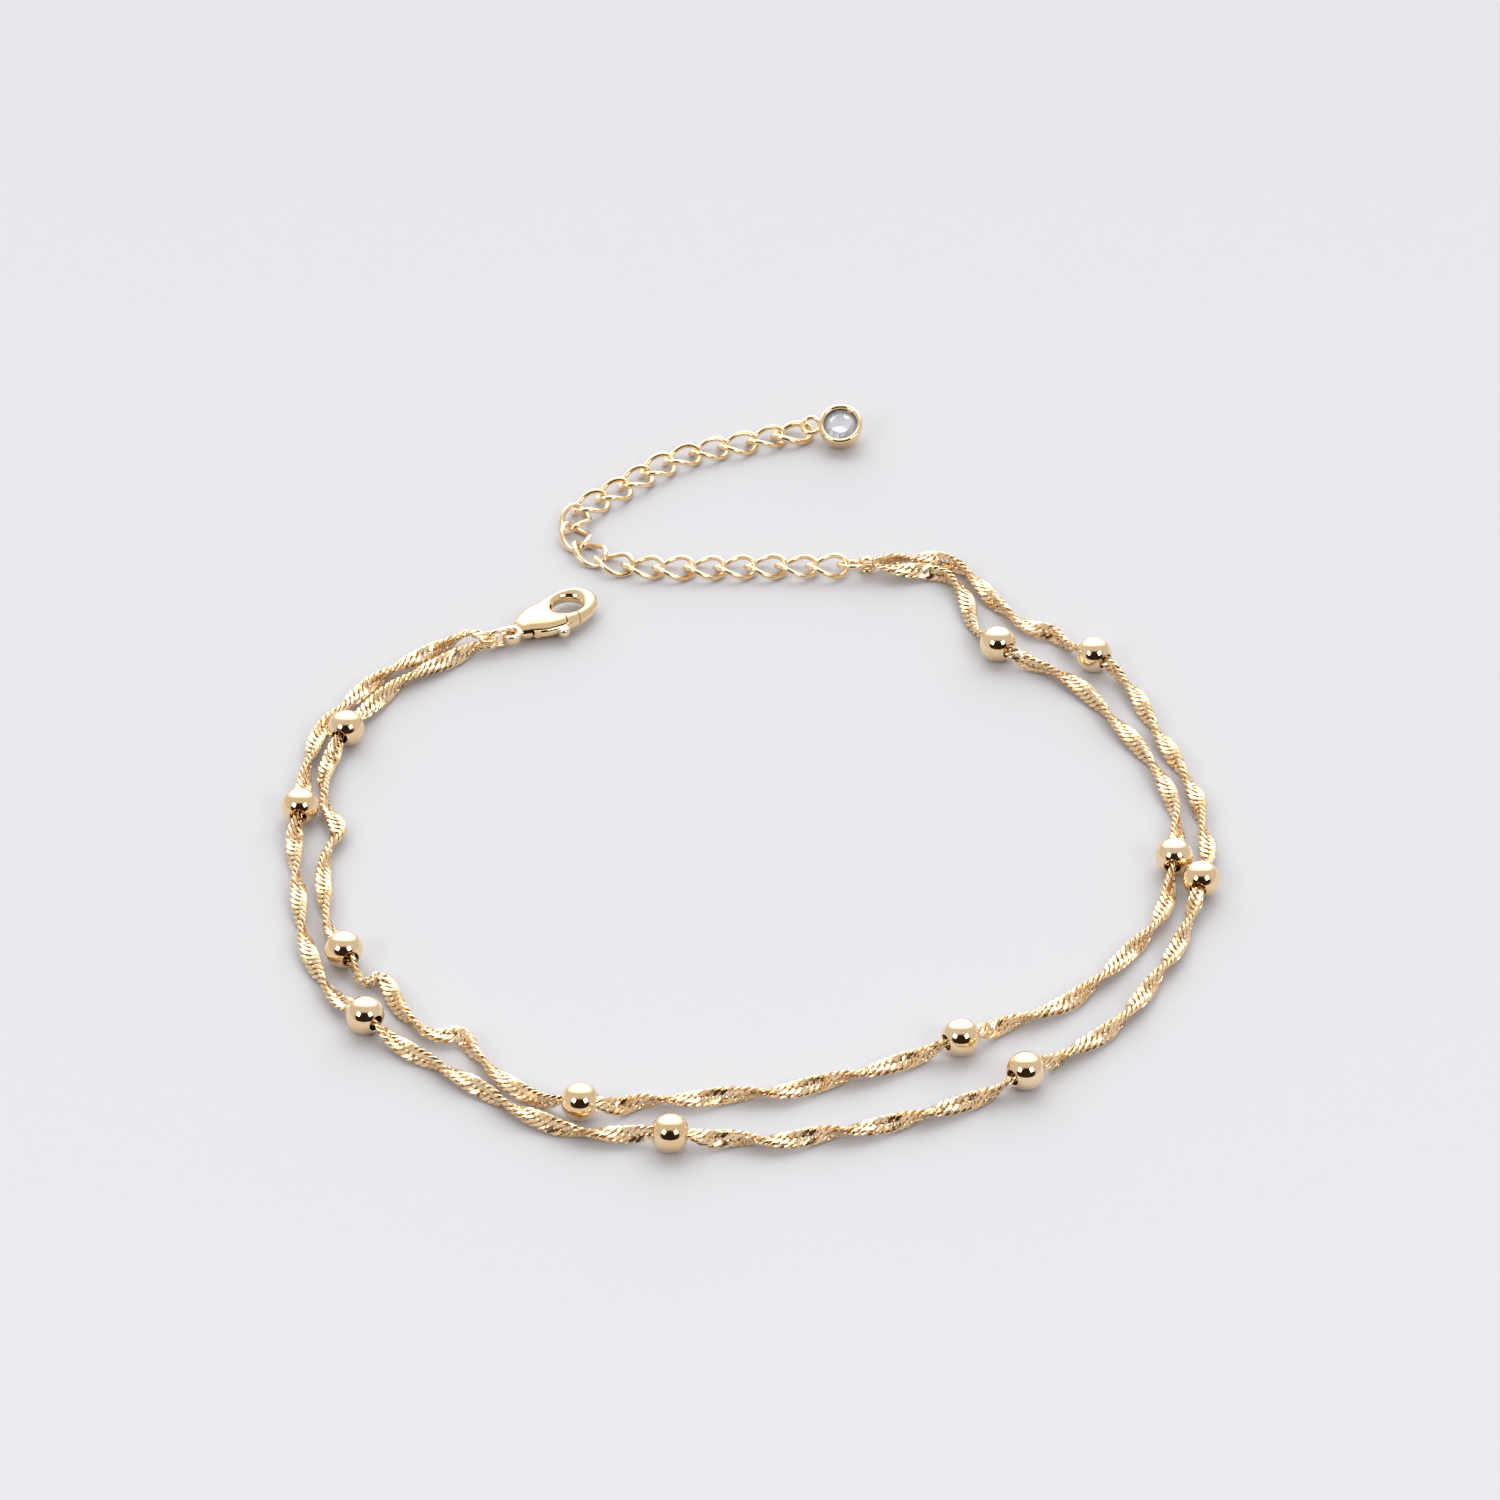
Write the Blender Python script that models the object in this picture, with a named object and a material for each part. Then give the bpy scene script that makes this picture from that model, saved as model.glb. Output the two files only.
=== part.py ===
"""A double-strand anklet, lying open on a surface.

Two twisted ribbon chains, each threaded with six round beads, run from a lobster clasp to an end ring.
An extender of twisted curb links follows, and a small round stone in a bezel hangs at its end.

Lengths are in millimetres and angles in degrees. Every mesh is turned into Blender's metres when its
object is made. X is to the right, +Y away from the wearer's front, +Z up, and the surface is Z = 0.
"""

import math

import bmesh
import bpy
from mathutils import Matrix, Vector

METRES = 0.001
GAP = 0.25

# Beads: a drilled ball each, resting on the surface
BEAD_DIAMETER = 3.5
BEAD_BORE = 1.6
BEAD_SIDES = 14
BEAD_ARCS = 8

# Chain strands: a flat ribbon of links that turns about its own length
STRAND_WIDTH = 1.6
STRAND_THICKNESS = 0.75
STRAND_NECK = 0.8
STRAND_SECTION_POINTS = 8
STRAND_STEP = 2.85
NECK_LENGTH = 1.5
BEAD_LEVEL = 1.05
BEAD_DESCENT = 2.9
INNER_HALF_TURN = 8.9
INNER_TURN_START = 52.0
OUTER_HALF_TURN = 7.7
OUTER_TURN_START = 171.0

# The loop soldered to each end of a strand
END_LOOP_DIAMETER = 1.55
END_LOOP_WIRE = 0.38
END_LOOP_SLACK = 0.05
END_NECK = 0.6
END_TAPER = 2.6

# The two strands' courses in plan, chosen by hand. A bead sits at each row marked "bead".
# kind, x, y
INNER_ROUTE = [
    ("chain", -26.9, 29.6), ("chain", -28.0, 28.7), ("chain", -29.4, 27.6), ("chain", -30.9, 26.6),
    ("chain", -32.4, 25.5), ("chain", -33.9, 24.0), ("chain", -35.3, 22.2), ("chain", -36.4, 20.6),
    ("chain", -37.4, 19.0), ("bead", -38.6, 16.0), ("chain", -39.7, 13.0), ("chain", -40.2, 11.0),
    ("chain", -40.3, 9.2), ("chain", -40.1, 7.0), ("chain", -39.8, 4.8), ("chain", -39.1, 3.3),
    ("chain", -38.6, 2.0), ("chain", -38.7, 0.8), ("chain", -39.2, -0.6), ("chain", -39.5, -2.5),
    ("chain", -39.6, -5.0), ("chain", -39.3, -7.5), ("chain", -39.0, -10.0), ("chain", -38.4, -12.8),
    ("bead", -37.0, -16.2), ("chain", -35.8, -18.4), ("chain", -35.1, -19.5), ("chain", -34.3, -19.4),
    ("chain", -33.6, -18.9), ("chain", -32.9, -20.0), ("chain", -32.3, -21.6), ("chain", -31.4, -23.5),
    ("chain", -30.2, -25.1), ("chain", -28.9, -26.4), ("chain", -27.5, -26.9), ("chain", -26.3, -26.8),
    ("chain", -25.4, -27.6), ("chain", -24.6, -29.1), ("chain", -23.3, -30.9), ("chain", -21.9, -32.8),
    ("chain", -20.2, -34.4), ("chain", -18.1, -35.7), ("bead", -15.0, -36.7), ("chain", -12.1, -36.5),
    ("chain", -10.0, -35.7), ("chain", -7.5, -35.4), ("chain", -5.0, -35.3), ("chain", -2.0, -34.8),
    ("chain", 1.0, -34.5), ("chain", 3.5, -34.2), ("chain", 6.0, -33.3), ("chain", 8.5, -32.4),
    ("chain", 11.0, -31.5), ("chain", 13.5, -30.4), ("chain", 16.0, -29.3), ("bead", 18.9, -28.2),
    ("chain", 21.8, -26.1), ("chain", 24.0, -24.9), ("chain", 26.5, -23.7), ("chain", 28.8, -22.3),
    ("chain", 30.8, -20.3), ("chain", 32.8, -17.9), ("chain", 34.7, -15.4), ("chain", 36.6, -12.8),
    ("chain", 37.9, -10.0), ("chain", 38.7, -7.2), ("bead", 39.4, -3.0), ("chain", 39.9, 0.6),
    ("chain", 40.1, 3.0), ("chain", 39.9, 5.5), ("chain", 39.4, 8.0), ("chain", 38.6, 10.8),
    ("chain", 37.5, 13.4), ("chain", 36.2, 16.0), ("chain", 34.8, 18.6), ("chain", 33.4, 21.1),
    ("chain", 31.8, 23.5), ("chain", 29.9, 25.6), ("chain", 27.2, 27.1), ("bead", 24.0, 29.0),
    ("chain", 22.4, 31.9), ("chain", 21.7, 34.2), ("chain", 21.4, 36.6), ("chain", 20.9, 39.0),
    ("chain", 19.6, 41.0), ("chain", 17.4, 41.9), ("chain", 15.2, 41.9), ("chain", 13.6, 42.0),
]
OUTER_ROUTE = [
    ("chain", -27.5, 31.3), ("chain", -29.2, 30.3), ("chain", -30.8, 29.2), ("chain", -32.3, 28.1),
    ("chain", -33.8, 27.0), ("chain", -35.4, 25.4), ("chain", -36.9, 23.6), ("chain", -38.2, 21.8),
    ("chain", -39.4, 19.9), ("chain", -40.6, 17.9), ("chain", -41.4, 15.6), ("chain", -41.8, 13.2),
    ("chain", -42.1, 10.6), ("chain", -42.3, 8.0), ("bead", -42.2, 4.3), ("chain", -42.6, 0.6),
    ("chain", -42.4, -2.0), ("chain", -42.0, -4.8), ("chain", -41.7, -7.6), ("chain", -41.4, -10.2),
    ("chain", -40.9, -12.8), ("chain", -40.5, -14.8), ("chain", -39.8, -17.0), ("chain", -38.8, -19.2),
    ("chain", -37.6, -21.5), ("bead", -34.6, -25.2), ("chain", -32.2, -27.4), ("chain", -30.2, -29.2),
    ("chain", -27.9, -30.8), ("chain", -25.6, -32.6), ("chain", -23.4, -34.4), ("chain", -21.4, -36.1),
    ("chain", -19.2, -37.6), ("chain", -17.0, -38.9), ("chain", -14.8, -39.6), ("chain", -12.6, -39.8),
    ("chain", -10.4, -40.0), ("bead", -7.0, -40.8), ("chain", -3.6, -40.5), ("chain", -1.0, -40.4),
    ("chain", 1.6, -40.7), ("chain", 4.0, -40.5), ("chain", 6.5, -39.8), ("chain", 9.0, -39.3),
    ("chain", 11.6, -38.7), ("chain", 14.2, -37.8), ("chain", 16.8, -36.7), ("chain", 19.4, -35.6),
    ("chain", 21.6, -34.5), ("bead", 24.5, -32.6), ("chain", 27.4, -30.1), ("chain", 29.4, -28.5),
    ("chain", 31.4, -27.0), ("chain", 33.2, -25.1), ("chain", 34.9, -22.5), ("chain", 36.4, -19.9),
    ("chain", 37.9, -17.2), ("chain", 39.2, -14.4), ("chain", 40.2, -11.8), ("chain", 40.8, -9.6),
    ("bead", 41.7, -6.3), ("chain", 42.6, -2.8), ("chain", 42.7, 0.0), ("chain", 42.5, 3.0),
    ("chain", 42.2, 6.0), ("chain", 41.6, 9.0), ("chain", 40.6, 12.0), ("chain", 39.6, 14.8),
    ("chain", 38.8, 17.4), ("chain", 37.9, 20.0), ("chain", 37.2, 22.4), ("chain", 36.1, 24.7),
    ("bead", 33.4, 27.4), ("chain", 30.9, 30.2), ("chain", 29.4, 32.0), ("chain", 27.8, 32.7),
    ("chain", 26.4, 33.9), ("chain", 25.0, 35.8), ("chain", 23.7, 37.7), ("chain", 22.7, 39.9),
    ("chain", 21.3, 42.1), ("chain", 19.3, 43.7), ("chain", 17.0, 44.1), ("chain", 14.9, 43.9),
    ("chain", 13.4, 43.6),
]

# Extender links, all alike: ovals of round wire, each twisted along its length as a curb link is
LINK_WIRE = 0.55
LINK_LENGTH = 4.55
LINK_PLAY = 0.4
LINK_WIDTH = 3.3
LINK_TWIST = 42.0
LINK_COUNT = 19
LINK_SWAY = 3.0
SWAY_STEP = 2.4
LIFT_DECAY = 0.6
RING_SEGMENTS = 14
WIRE_SIDES = 6
# The extender's course in plan, chosen by hand, from the end ring to the drop's link. x, y
EXTENDER_ROUTE = [
    (9.2, 42.7), (4.9, 42.7), (1.7, 42.8), (-1.4, 42.7), (-4.5, 42.6), (-7.5, 42.6), (-10.4, 42.7),
    (-13.1, 43.2), (-15.3, 44.4), (-16.9, 46.3), (-17.8, 48.6), (-17.7, 51.0), (-16.6, 53.0),
    (-14.7, 54.4), (-12.6, 56.4), (-10.0, 59.0), (-7.3, 61.2), (-4.5, 62.6), (-1.8, 63.4), (1.0, 64.3),
    (4.0, 65.6), (7.0, 66.0),
]

# Rings
CLASP_RING_WIRE = 0.48
CLASP_RING_LENGTH = 2.9
CLASP_RING_HEIGHT = 2.3
CLASP_RING_SQUARENESS = 2.8
CLASP_RING_SEAT = 0.08
CLASP_RING_HEADING = 21.0
STRAND_SPREAD = 50.0
END_RING_WIRE = 0.5
END_RING_DIAMETER = 3.3
END_RING_CENTRE = (10.2, 42.7)
END_RING_ROLL = -27.0
FIRST_LINK_LIFT = 0.35
END_LOOP_SPACING = 0.75

# Lobster clasp, in its own plan: u from the tail loop to the tip, n to the left of that
CLASP_TAIL = (-23.3, 31.2)
CLASP_HEADING = 37.0
CLASP_THICKNESS = 2.4
CLASP_ROUNDING = 0.75
CLASP_OUTLINE = [
    (0.7, 0.7), (1.9, 1.35), (3.8, 2.15), (5.9, 2.6), (7.8, 2.65), (9.3, 2.1), (10.1, 1.05), (10.15, -0.1),
    (9.5, -1.2), (8.3, -2.05), (6.9, -2.45), (5.4, -2.5), (4.1, -2.35), (2.8, -2.0), (1.6, -1.3), (0.7, -0.7),
]
CLASP_EYE = [
    (5.2, 0.55), (6.1, 1.25), (7.2, 1.5), (8.2, 1.25), (8.65, 0.45), (8.4, -0.45), (7.6, -0.95),
    (6.6, -0.95), (5.7, -0.4),
]
TAIL_LOOP_DIAMETER = 2.2
TAIL_LOOP_HOLE = 1.15
TAIL_LOOP_THICKNESS = 1.0
TAIL_LOOP_ROUNDING = 0.25
PIVOT = (2.5, -0.9)
PIN_DIAMETER = 0.6
CHEEK_THICKNESS = 0.55
CHEEK_REACH = 2.9
CHEEK_WINDOW = (-80.0, 28.0)
SLOT_ANGLES = (-125.0, 34.0)
LEVER_REACH = 4.3
LEVER_GAP = 0.2
LEVER_TONGUE = 0.9
LEVER_HEAD_HEIGHT = 1.9
LEVER_BOSS = 1.7
LEVER_ARM = [(2.3, -1.75), (3.4, -1.95), (4.7, -2.2), (5.9, -2.2), (5.9, -0.95), (3.9, -0.8), (2.8, -0.8)]
LEVER_HEAD_EDGES = (-2.35, -0.95)
HEAD_ROUNDING = 0.35
KNOB_CENTRE = (4.3, -2.55)
KNOB_DIAMETER = 1.3
KNOB_ROUNDING = 0.2

# Drop: a round bezel with a flat loop at its side, and a faceted stone
DROP_LINK_WIRE = 0.7
DROP_LINK_LENGTH = 4.7
DROP_LINK_WIDTH = 3.5
DROP_LINK_TWIST = 32.0
BAIL_WIRE = 0.5
BAIL_DIAMETER = 2.3
BAIL_HEIGHT = 0.95
BAIL_SEAT = 0.05
BEZEL_DIAMETER = 4.5
BEZEL_BACK_DIAMETER = 4.0
BEZEL_HEIGHT = 2.1
BEZEL_WALL = 0.28
BEZEL_FLOOR = 0.35
BEZEL_LIP = 0.25
BEZEL_FLARE_HEIGHT = 0.95
BEZEL_ROUNDING = 0.15
BEZEL_SIDES = 20
DROP_TILT = 27.0
DROP_HEADING = -8.0
STONE_CROWN = 0.45
STONE_GIRDLE = 0.12
STONE_PAVILION = 0.8
STONE_TABLE_SHARE = 0.58
STONE_SIDES = 16
STONE_CLEARANCE = 0.18

GOLD = (0.83, 0.62, 0.34, 1.0)
CLEAR = (0.93, 0.95, 0.97, 1.0)


def material(name, colour, roughness, metallic, transmission=0.0):
    """Returns a Principled material, made once for each name."""
    made = bpy.data.materials.get(name)
    if made:
        return made
    made = bpy.data.materials.new(name)
    made.use_nodes = True
    shader = made.node_tree.nodes["Principled BSDF"]
    shader.inputs["Base Color"].default_value = colour
    shader.inputs["Roughness"].default_value = roughness
    shader.inputs["Metallic"].default_value = metallic
    shader.inputs["Transmission Weight"].default_value = transmission
    return made


def gold():
    return material("gold_plate", GOLD, 0.16, 1.0)


def add_object(name, mesh, parent, finish, place=Matrix()):
    """Turns a mesh in millimetres into the named object in metres, under its parent."""
    mesh.transform(Matrix.Scale(METRES, 4))
    mesh.name = name
    mesh.materials.clear()
    mesh.materials.append(finish)
    mesh.shade_smooth()
    mesh.set_sharp_from_angle(angle=math.radians(40))
    thing = bpy.data.objects.new(name, mesh)
    bpy.context.scene.collection.objects.link(thing)
    thing.parent = parent
    metric = place.copy()
    metric.translation = place.translation * METRES
    thing.matrix_basis = metric
    return thing


def mesh_from(work):
    """Closes off a bmesh: outward faces, one mesh."""
    bmesh.ops.recalc_face_normals(work, faces=work.faces)
    mesh = bpy.data.meshes.new("part")
    work.to_mesh(mesh)
    work.free()
    return mesh


def ring_mesh(rings, closed):
    """Joins rows of points, each a closed ring, into one skin. An open run gets flat ends."""
    work = bmesh.new()
    rows = [[work.verts.new(point) for point in ring] for ring in rings]
    sides = len(rows[0])
    count = len(rows) if closed else len(rows) - 1
    for row in range(count):
        here, there = rows[row], rows[(row + 1) % len(rows)]
        for side in range(sides):
            after = (side + 1) % sides
            work.faces.new((here[side], here[after], there[after], there[side]))
    if not closed:
        work.faces.new(rows[0])
        work.faces.new(rows[-1])
    return mesh_from(work)


def combined(base, others, operation):
    """Returns one mesh: the base united with, or cut by, the other meshes, all in millimetres."""
    scratch = bpy.context.scene.collection.objects
    thing = bpy.data.objects.new("base", base)
    scratch.link(thing)
    tools = []
    for mesh in others:
        tool = bpy.data.objects.new("tool", mesh)
        scratch.link(tool)
        tools.append(tool)
        step = thing.modifiers.new("step", "BOOLEAN")
        step.operation = operation
        step.object = tool
    graph = bpy.context.evaluated_depsgraph_get()
    result = bpy.data.meshes.new_from_object(thing.evaluated_get(graph))
    for used in [thing, *tools]:
        bpy.data.objects.remove(used)
    return result


def oval_mesh(length, width, wire, twist=0.0, squareness=2.0, segments=RING_SEGMENTS, sides=WIRE_SIDES):
    """A ring of round wire, long in X, given by its outer size. Its two ends are twisted apart about X."""
    half_length = (length - wire) / 2
    half_width = (width - wire) / 2
    rings = []
    for step in range(segments):
        angle = math.tau * step / segments
        cosine, sine = math.cos(angle), math.sin(angle)
        power = 2 / squareness
        x = half_length * math.copysign(abs(cosine) ** power, cosine)
        y = half_width * math.copysign(abs(sine) ** power, sine)
        outward = Vector((x / half_length**2, y / half_width**2, 0)).normalized()
        turn = Matrix.Rotation(math.radians(twist) * x / half_length, 3, "X")
        centre = turn @ Vector((x, y, 0))
        ring = []
        for side in range(sides):
            around = math.tau * (side + 0.5) / sides
            offset = outward * math.cos(around) + Vector((0, 0, math.sin(around)))
            ring.append(centre + turn @ offset * wire / 2)
        rings.append(ring)
    return ring_mesh(rings, True)


def lowest(mesh, turn):
    """How far a turned mesh reaches below its own origin."""
    return -min((turn @ vertex.co).z for vertex in mesh.vertices)


def facing(heading, pitch=0.0, roll=0.0):
    """A turn by a compass heading, then a nose-down pitch, then a roll about its own length."""
    return (
        Matrix.Rotation(math.radians(heading), 4, "Z")
        @ Matrix.Rotation(math.radians(pitch), 4, "Y")
        @ Matrix.Rotation(math.radians(roll), 4, "X")
    )


def smooth_course(points, step=0.1):
    """A fine, even run of points along the smooth curve through the chosen ones, with the arc length of each."""
    padded = [2 * points[0] - points[1], *points, 2 * points[-1] - points[-2]]
    course = [points[0].copy()]
    at_chosen = [0]
    for before, start, end, after in zip(padded, padded[1:], padded[2:], padded[3:]):
        pieces = max(2, round((end - start).length / step))
        times = [0.0]
        for first, second in ((before, start), (start, end), (end, after)):
            times.append(times[-1] + math.sqrt((second - first).length))
        for piece in range(1, pieces + 1):
            time = times[1] + (times[2] - times[1]) * piece / pieces
            row = [before, start, end, after]
            for level in range(1, 4):
                upper = []
                for index in range(4 - level):
                    low = times[index if level < 3 else 1]
                    high = times[index + level if level < 3 else 2]
                    if level == 2:
                        low, high = times[index], times[index + 2]
                    share = (time - low) / (high - low)
                    upper.append(row[index].lerp(row[index + 1], share))
                row = upper
            course.append(row[0])
        at_chosen.append(len(course) - 1)
    arc = [0.0]
    for start, end in zip(course, course[1:]):
        arc.append(arc[-1] + (end - start).length)
    return course, arc, [arc[index] for index in at_chosen]


def at_arc(course, arc, distance):
    """The point of a course at a distance along it."""
    distance = min(max(distance, 0.0), arc[-1])
    low, high = 0, len(arc) - 1
    while high - low > 1:
        middle = (low + high) // 2
        if arc[middle] <= distance:
            low = middle
        else:
            high = middle
    share = (distance - arc[low]) / (arc[high] - arc[low])
    return course[low].lerp(course[high], share)


def eased(share):
    """0 to 1 with a soft start and end."""
    share = min(max(share, 0.0), 1.0)
    return share * share * (3 - 2 * share)


def bead_mesh():
    """A drilled ball with its bore along X."""
    radius = BEAD_DIAMETER / 2
    mouth = math.asin(BEAD_BORE / BEAD_DIAMETER)
    profile = []
    for arc in range(BEAD_ARCS + 1):
        angle = mouth + (math.pi - 2 * mouth) * arc / BEAD_ARCS
        profile.append((radius * math.cos(angle), radius * math.sin(angle)))
    rings = []
    for side in range(BEAD_SIDES):
        around = math.tau * (side + 0.5) / BEAD_SIDES
        rings.append([(x, r * math.cos(around), r * math.sin(around)) for x, r in profile])
    return ring_mesh(rings, True)


def strand_stations(length, beads):
    """Distances along a strand that get a section: close at each bead, even between them."""
    half_bead = BEAD_DIAMETER / 2
    marks = [0.0, END_TAPER]
    for bead in beads:
        marks += [bead - half_bead - NECK_LENGTH, bead - half_bead, bead, bead + half_bead,
                  bead + half_bead + NECK_LENGTH]
    marks += [length - END_TAPER, length]
    stations = [0.0]
    for start, end in zip(marks, marks[1:]):
        pieces = max(1, round((end - start) / STRAND_STEP))
        stations += [start + (end - start) * (piece + 1) / pieces for piece in range(pieces)]
    return stations


def strand_mesh(route, starts, turn_start, half_turn):
    """One strand: a ribbon tube on a poly curve, from one end loop to the other, with each bead's place."""
    chosen = [Vector((x, y, 0)) for _, x, y in route]
    first, last = starts
    chosen = [Vector((first.x, first.y, 0)), *chosen, Vector((last.x, last.y, 0))]
    course, arc, at_chosen = smooth_course(chosen)
    beads = [at_chosen[row + 1] for row, (kind, _, _) in enumerate(route) if kind == "bead"]
    length = arc[-1]
    half_bead = BEAD_DIAMETER / 2
    rest = STRAND_WIDTH / 2
    section = bpy.data.curves.new("section", "CURVE")
    oval = section.splines.new("POLY")
    oval.points.add(STRAND_SECTION_POINTS - 1)
    oval.use_cyclic_u = True
    for index, point in enumerate(oval.points):
        around = math.tau * index / STRAND_SECTION_POINTS
        point.co = (STRAND_WIDTH / 2 * math.cos(around), STRAND_THICKNESS / 2 * math.sin(around), 0, 1)
    section_object = bpy.data.objects.new("section", section)
    bpy.context.scene.collection.objects.link(section_object)
    stations = strand_stations(length, beads)
    curve = bpy.data.curves.new("strand", "CURVE")
    curve.dimensions = "3D"
    curve.twist_mode = "Z_UP"
    curve.bevel_mode = "OBJECT"
    curve.bevel_object = section_object
    curve.use_fill_caps = True
    curve.resolution_u = 1
    curve.render_resolution_u = 0
    line = curve.splines.new("POLY")
    line.points.add(len(stations) - 1)
    for point, station in zip(line.points, stations):
        place = at_arc(course, arc, station)
        away = min(abs(station - bead) for bead in beads)
        height = half_bead + (rest - half_bead) * eased((away - BEAD_LEVEL) / BEAD_DESCENT)
        from_end = min(station, length - station)
        end_height = first.z if station < length / 2 else last.z
        height = end_height + (height - end_height) * eased(from_end / (2 * END_TAPER))
        bead_share = eased((away - half_bead) / NECK_LENGTH)
        width = STRAND_NECK + (STRAND_WIDTH - STRAND_NECK) * bead_share
        width = min(width, END_NECK + (STRAND_WIDTH - END_NECK) * eased(from_end / END_TAPER))
        point.co = (place.x, place.y, height, 1)
        point.radius = width / STRAND_WIDTH
        point.tilt = math.radians(turn_start + 180 * station / half_turn)
    ribbon = bpy.data.objects.new("ribbon", curve)
    bpy.context.scene.collection.objects.link(ribbon)
    graph = bpy.context.evaluated_depsgraph_get()
    mesh = bpy.data.meshes.new_from_object(ribbon.evaluated_get(graph))
    bpy.data.objects.remove(ribbon)
    bpy.data.objects.remove(section_object)
    places = []
    for bead in beads:
        back, front = at_arc(course, arc, bead - half_bead), at_arc(course, arc, bead + half_bead)
        centre = at_arc(course, arc, bead)
        heading = math.degrees(math.atan2(front.y - back.y, front.x - back.x))
        places.append((centre.lerp((back + front) / 2, 0.5), heading))
    return mesh, places, length


def closed_mesh(mesh):
    """Welds a curve's mesh into one closed body with outward faces."""
    work = bmesh.new()
    work.from_mesh(mesh)
    bmesh.ops.remove_doubles(work, verts=work.verts, dist=0.001)
    return mesh_from(work)


def triangulated(mesh):
    """Splits a twisted skin into flat triangles, so that a union meets only flat faces."""
    work = bmesh.new()
    work.from_mesh(mesh)
    bmesh.ops.triangulate(work, faces=work.faces)
    return mesh_from(work)


def placed(mesh, place):
    mesh.transform(place)
    return mesh


def end_loop(place):
    size = END_LOOP_DIAMETER + END_LOOP_WIRE
    return placed(oval_mesh(size, size, END_LOOP_WIRE, segments=12), place)


def add_strand(name, bead_name, route, loops, turn_start, half_turn, anklet):
    """A strand with a loop at each end, and its beads. Each loop is its centre, its turn and its exit."""
    starts = [centre + exit_direction * END_LOOP_DIAMETER / 2 for centre, _, exit_direction in loops]
    ribbon, beads, length = strand_mesh(route, starts, turn_start, half_turn)
    rings = [triangulated(end_loop(Matrix.Translation(centre) @ turn)) for centre, turn, _ in loops]
    add_object(name, combined(triangulated(closed_mesh(ribbon)), rings, "UNION"), anklet, gold())
    ball = bead_mesh()
    for number, (centre, heading) in enumerate(beads, 1):
        place = Matrix.Translation((centre.x, centre.y, BEAD_DIAMETER / 2)) @ facing(heading)
        add_object(f"{bead_name}_{number}", ball.copy(), anklet, gold(), place)
    return length


def clasp_to_anklet():
    """The clasp's plan frame: the tail loop's centre and the heading, at the clasp's mid height."""
    return Matrix.Translation((*CLASP_TAIL, CLASP_THICKNESS / 2)) @ facing(CLASP_HEADING)


def smooth_outline(points, per_span):
    """A closed curve through a few chosen plan points."""
    count = len(points)
    outline = []
    for index in range(count):
        before, start, end, after = (Vector(points[(index + k - 1) % count]) for k in range(4))
        for piece in range(per_span):
            t = piece / per_span
            outline.append(
                0.5 * (2 * start + (end - before) * t + (2 * before - 5 * start + 4 * end - after) * t**2
                       + (3 * start - before - 3 * end + after) * t**3)
            )
    return outline


def inset_outline(outline, inset):
    """A plan outline drawn in by an even amount."""
    count = len(outline)
    points = [Vector((point[0], point[1])) for point in outline]
    turning = sum(points[k - 1].cross(points[k]) for k in range(count))
    inward = 1 if turning > 0 else -1
    drawn = []
    for k, point in enumerate(points):
        before, after = (point - points[k - 1]).normalized(), (points[(k + 1) % count] - point).normalized()
        along = (before + after).normalized()
        spread = max(0.5, along.dot(after))
        drawn.append(point + Vector((-along.y, along.x)) * inward * inset / spread)
    return drawn


def prism(outline, low, high, rounding=0.0, steps=3):
    """An upright solid of a plan outline, with its top and bottom edges rounded."""
    levels = [(rounding * (1 - math.sin(turn)), rounding * (1 - math.cos(turn)))
              for turn in (math.pi / 2 * k / steps for k in range(steps + 1))] if rounding else [(0.0, 0.0)]
    rows = [(inset, low + lift) for inset, lift in levels]
    rows += [(inset, high - lift) for inset, lift in reversed(levels)]
    rings = [[(p.x, p.y, z) for p in inset_outline(outline, inset)] for inset, z in rows]
    return ring_mesh(rings, False)


def disc(centre, diameter, sides=16):
    return [
        (centre[0] + diameter / 2 * math.cos(math.tau * k / sides),
         centre[1] + diameter / 2 * math.sin(math.tau * k / sides))
        for k in range(sides)
    ]


def sector(radius_low, radius_high, start, end, pieces=8):
    """A slice of a ring round the lever's pivot, between two angles. A zero inner radius makes it a fan."""
    turns = [math.radians(start + (end - start) * k / pieces) for k in range(pieces + 1)]
    outer = [(PIVOT[0] + radius_high * math.cos(t), PIVOT[1] + radius_high * math.sin(t)) for t in turns]
    if radius_low == 0:
        return [PIVOT, *outer]
    inner = [(PIVOT[0] + radius_low * math.cos(t), PIVOT[1] + radius_low * math.sin(t)) for t in turns]
    return inner + outer[::-1]


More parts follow.
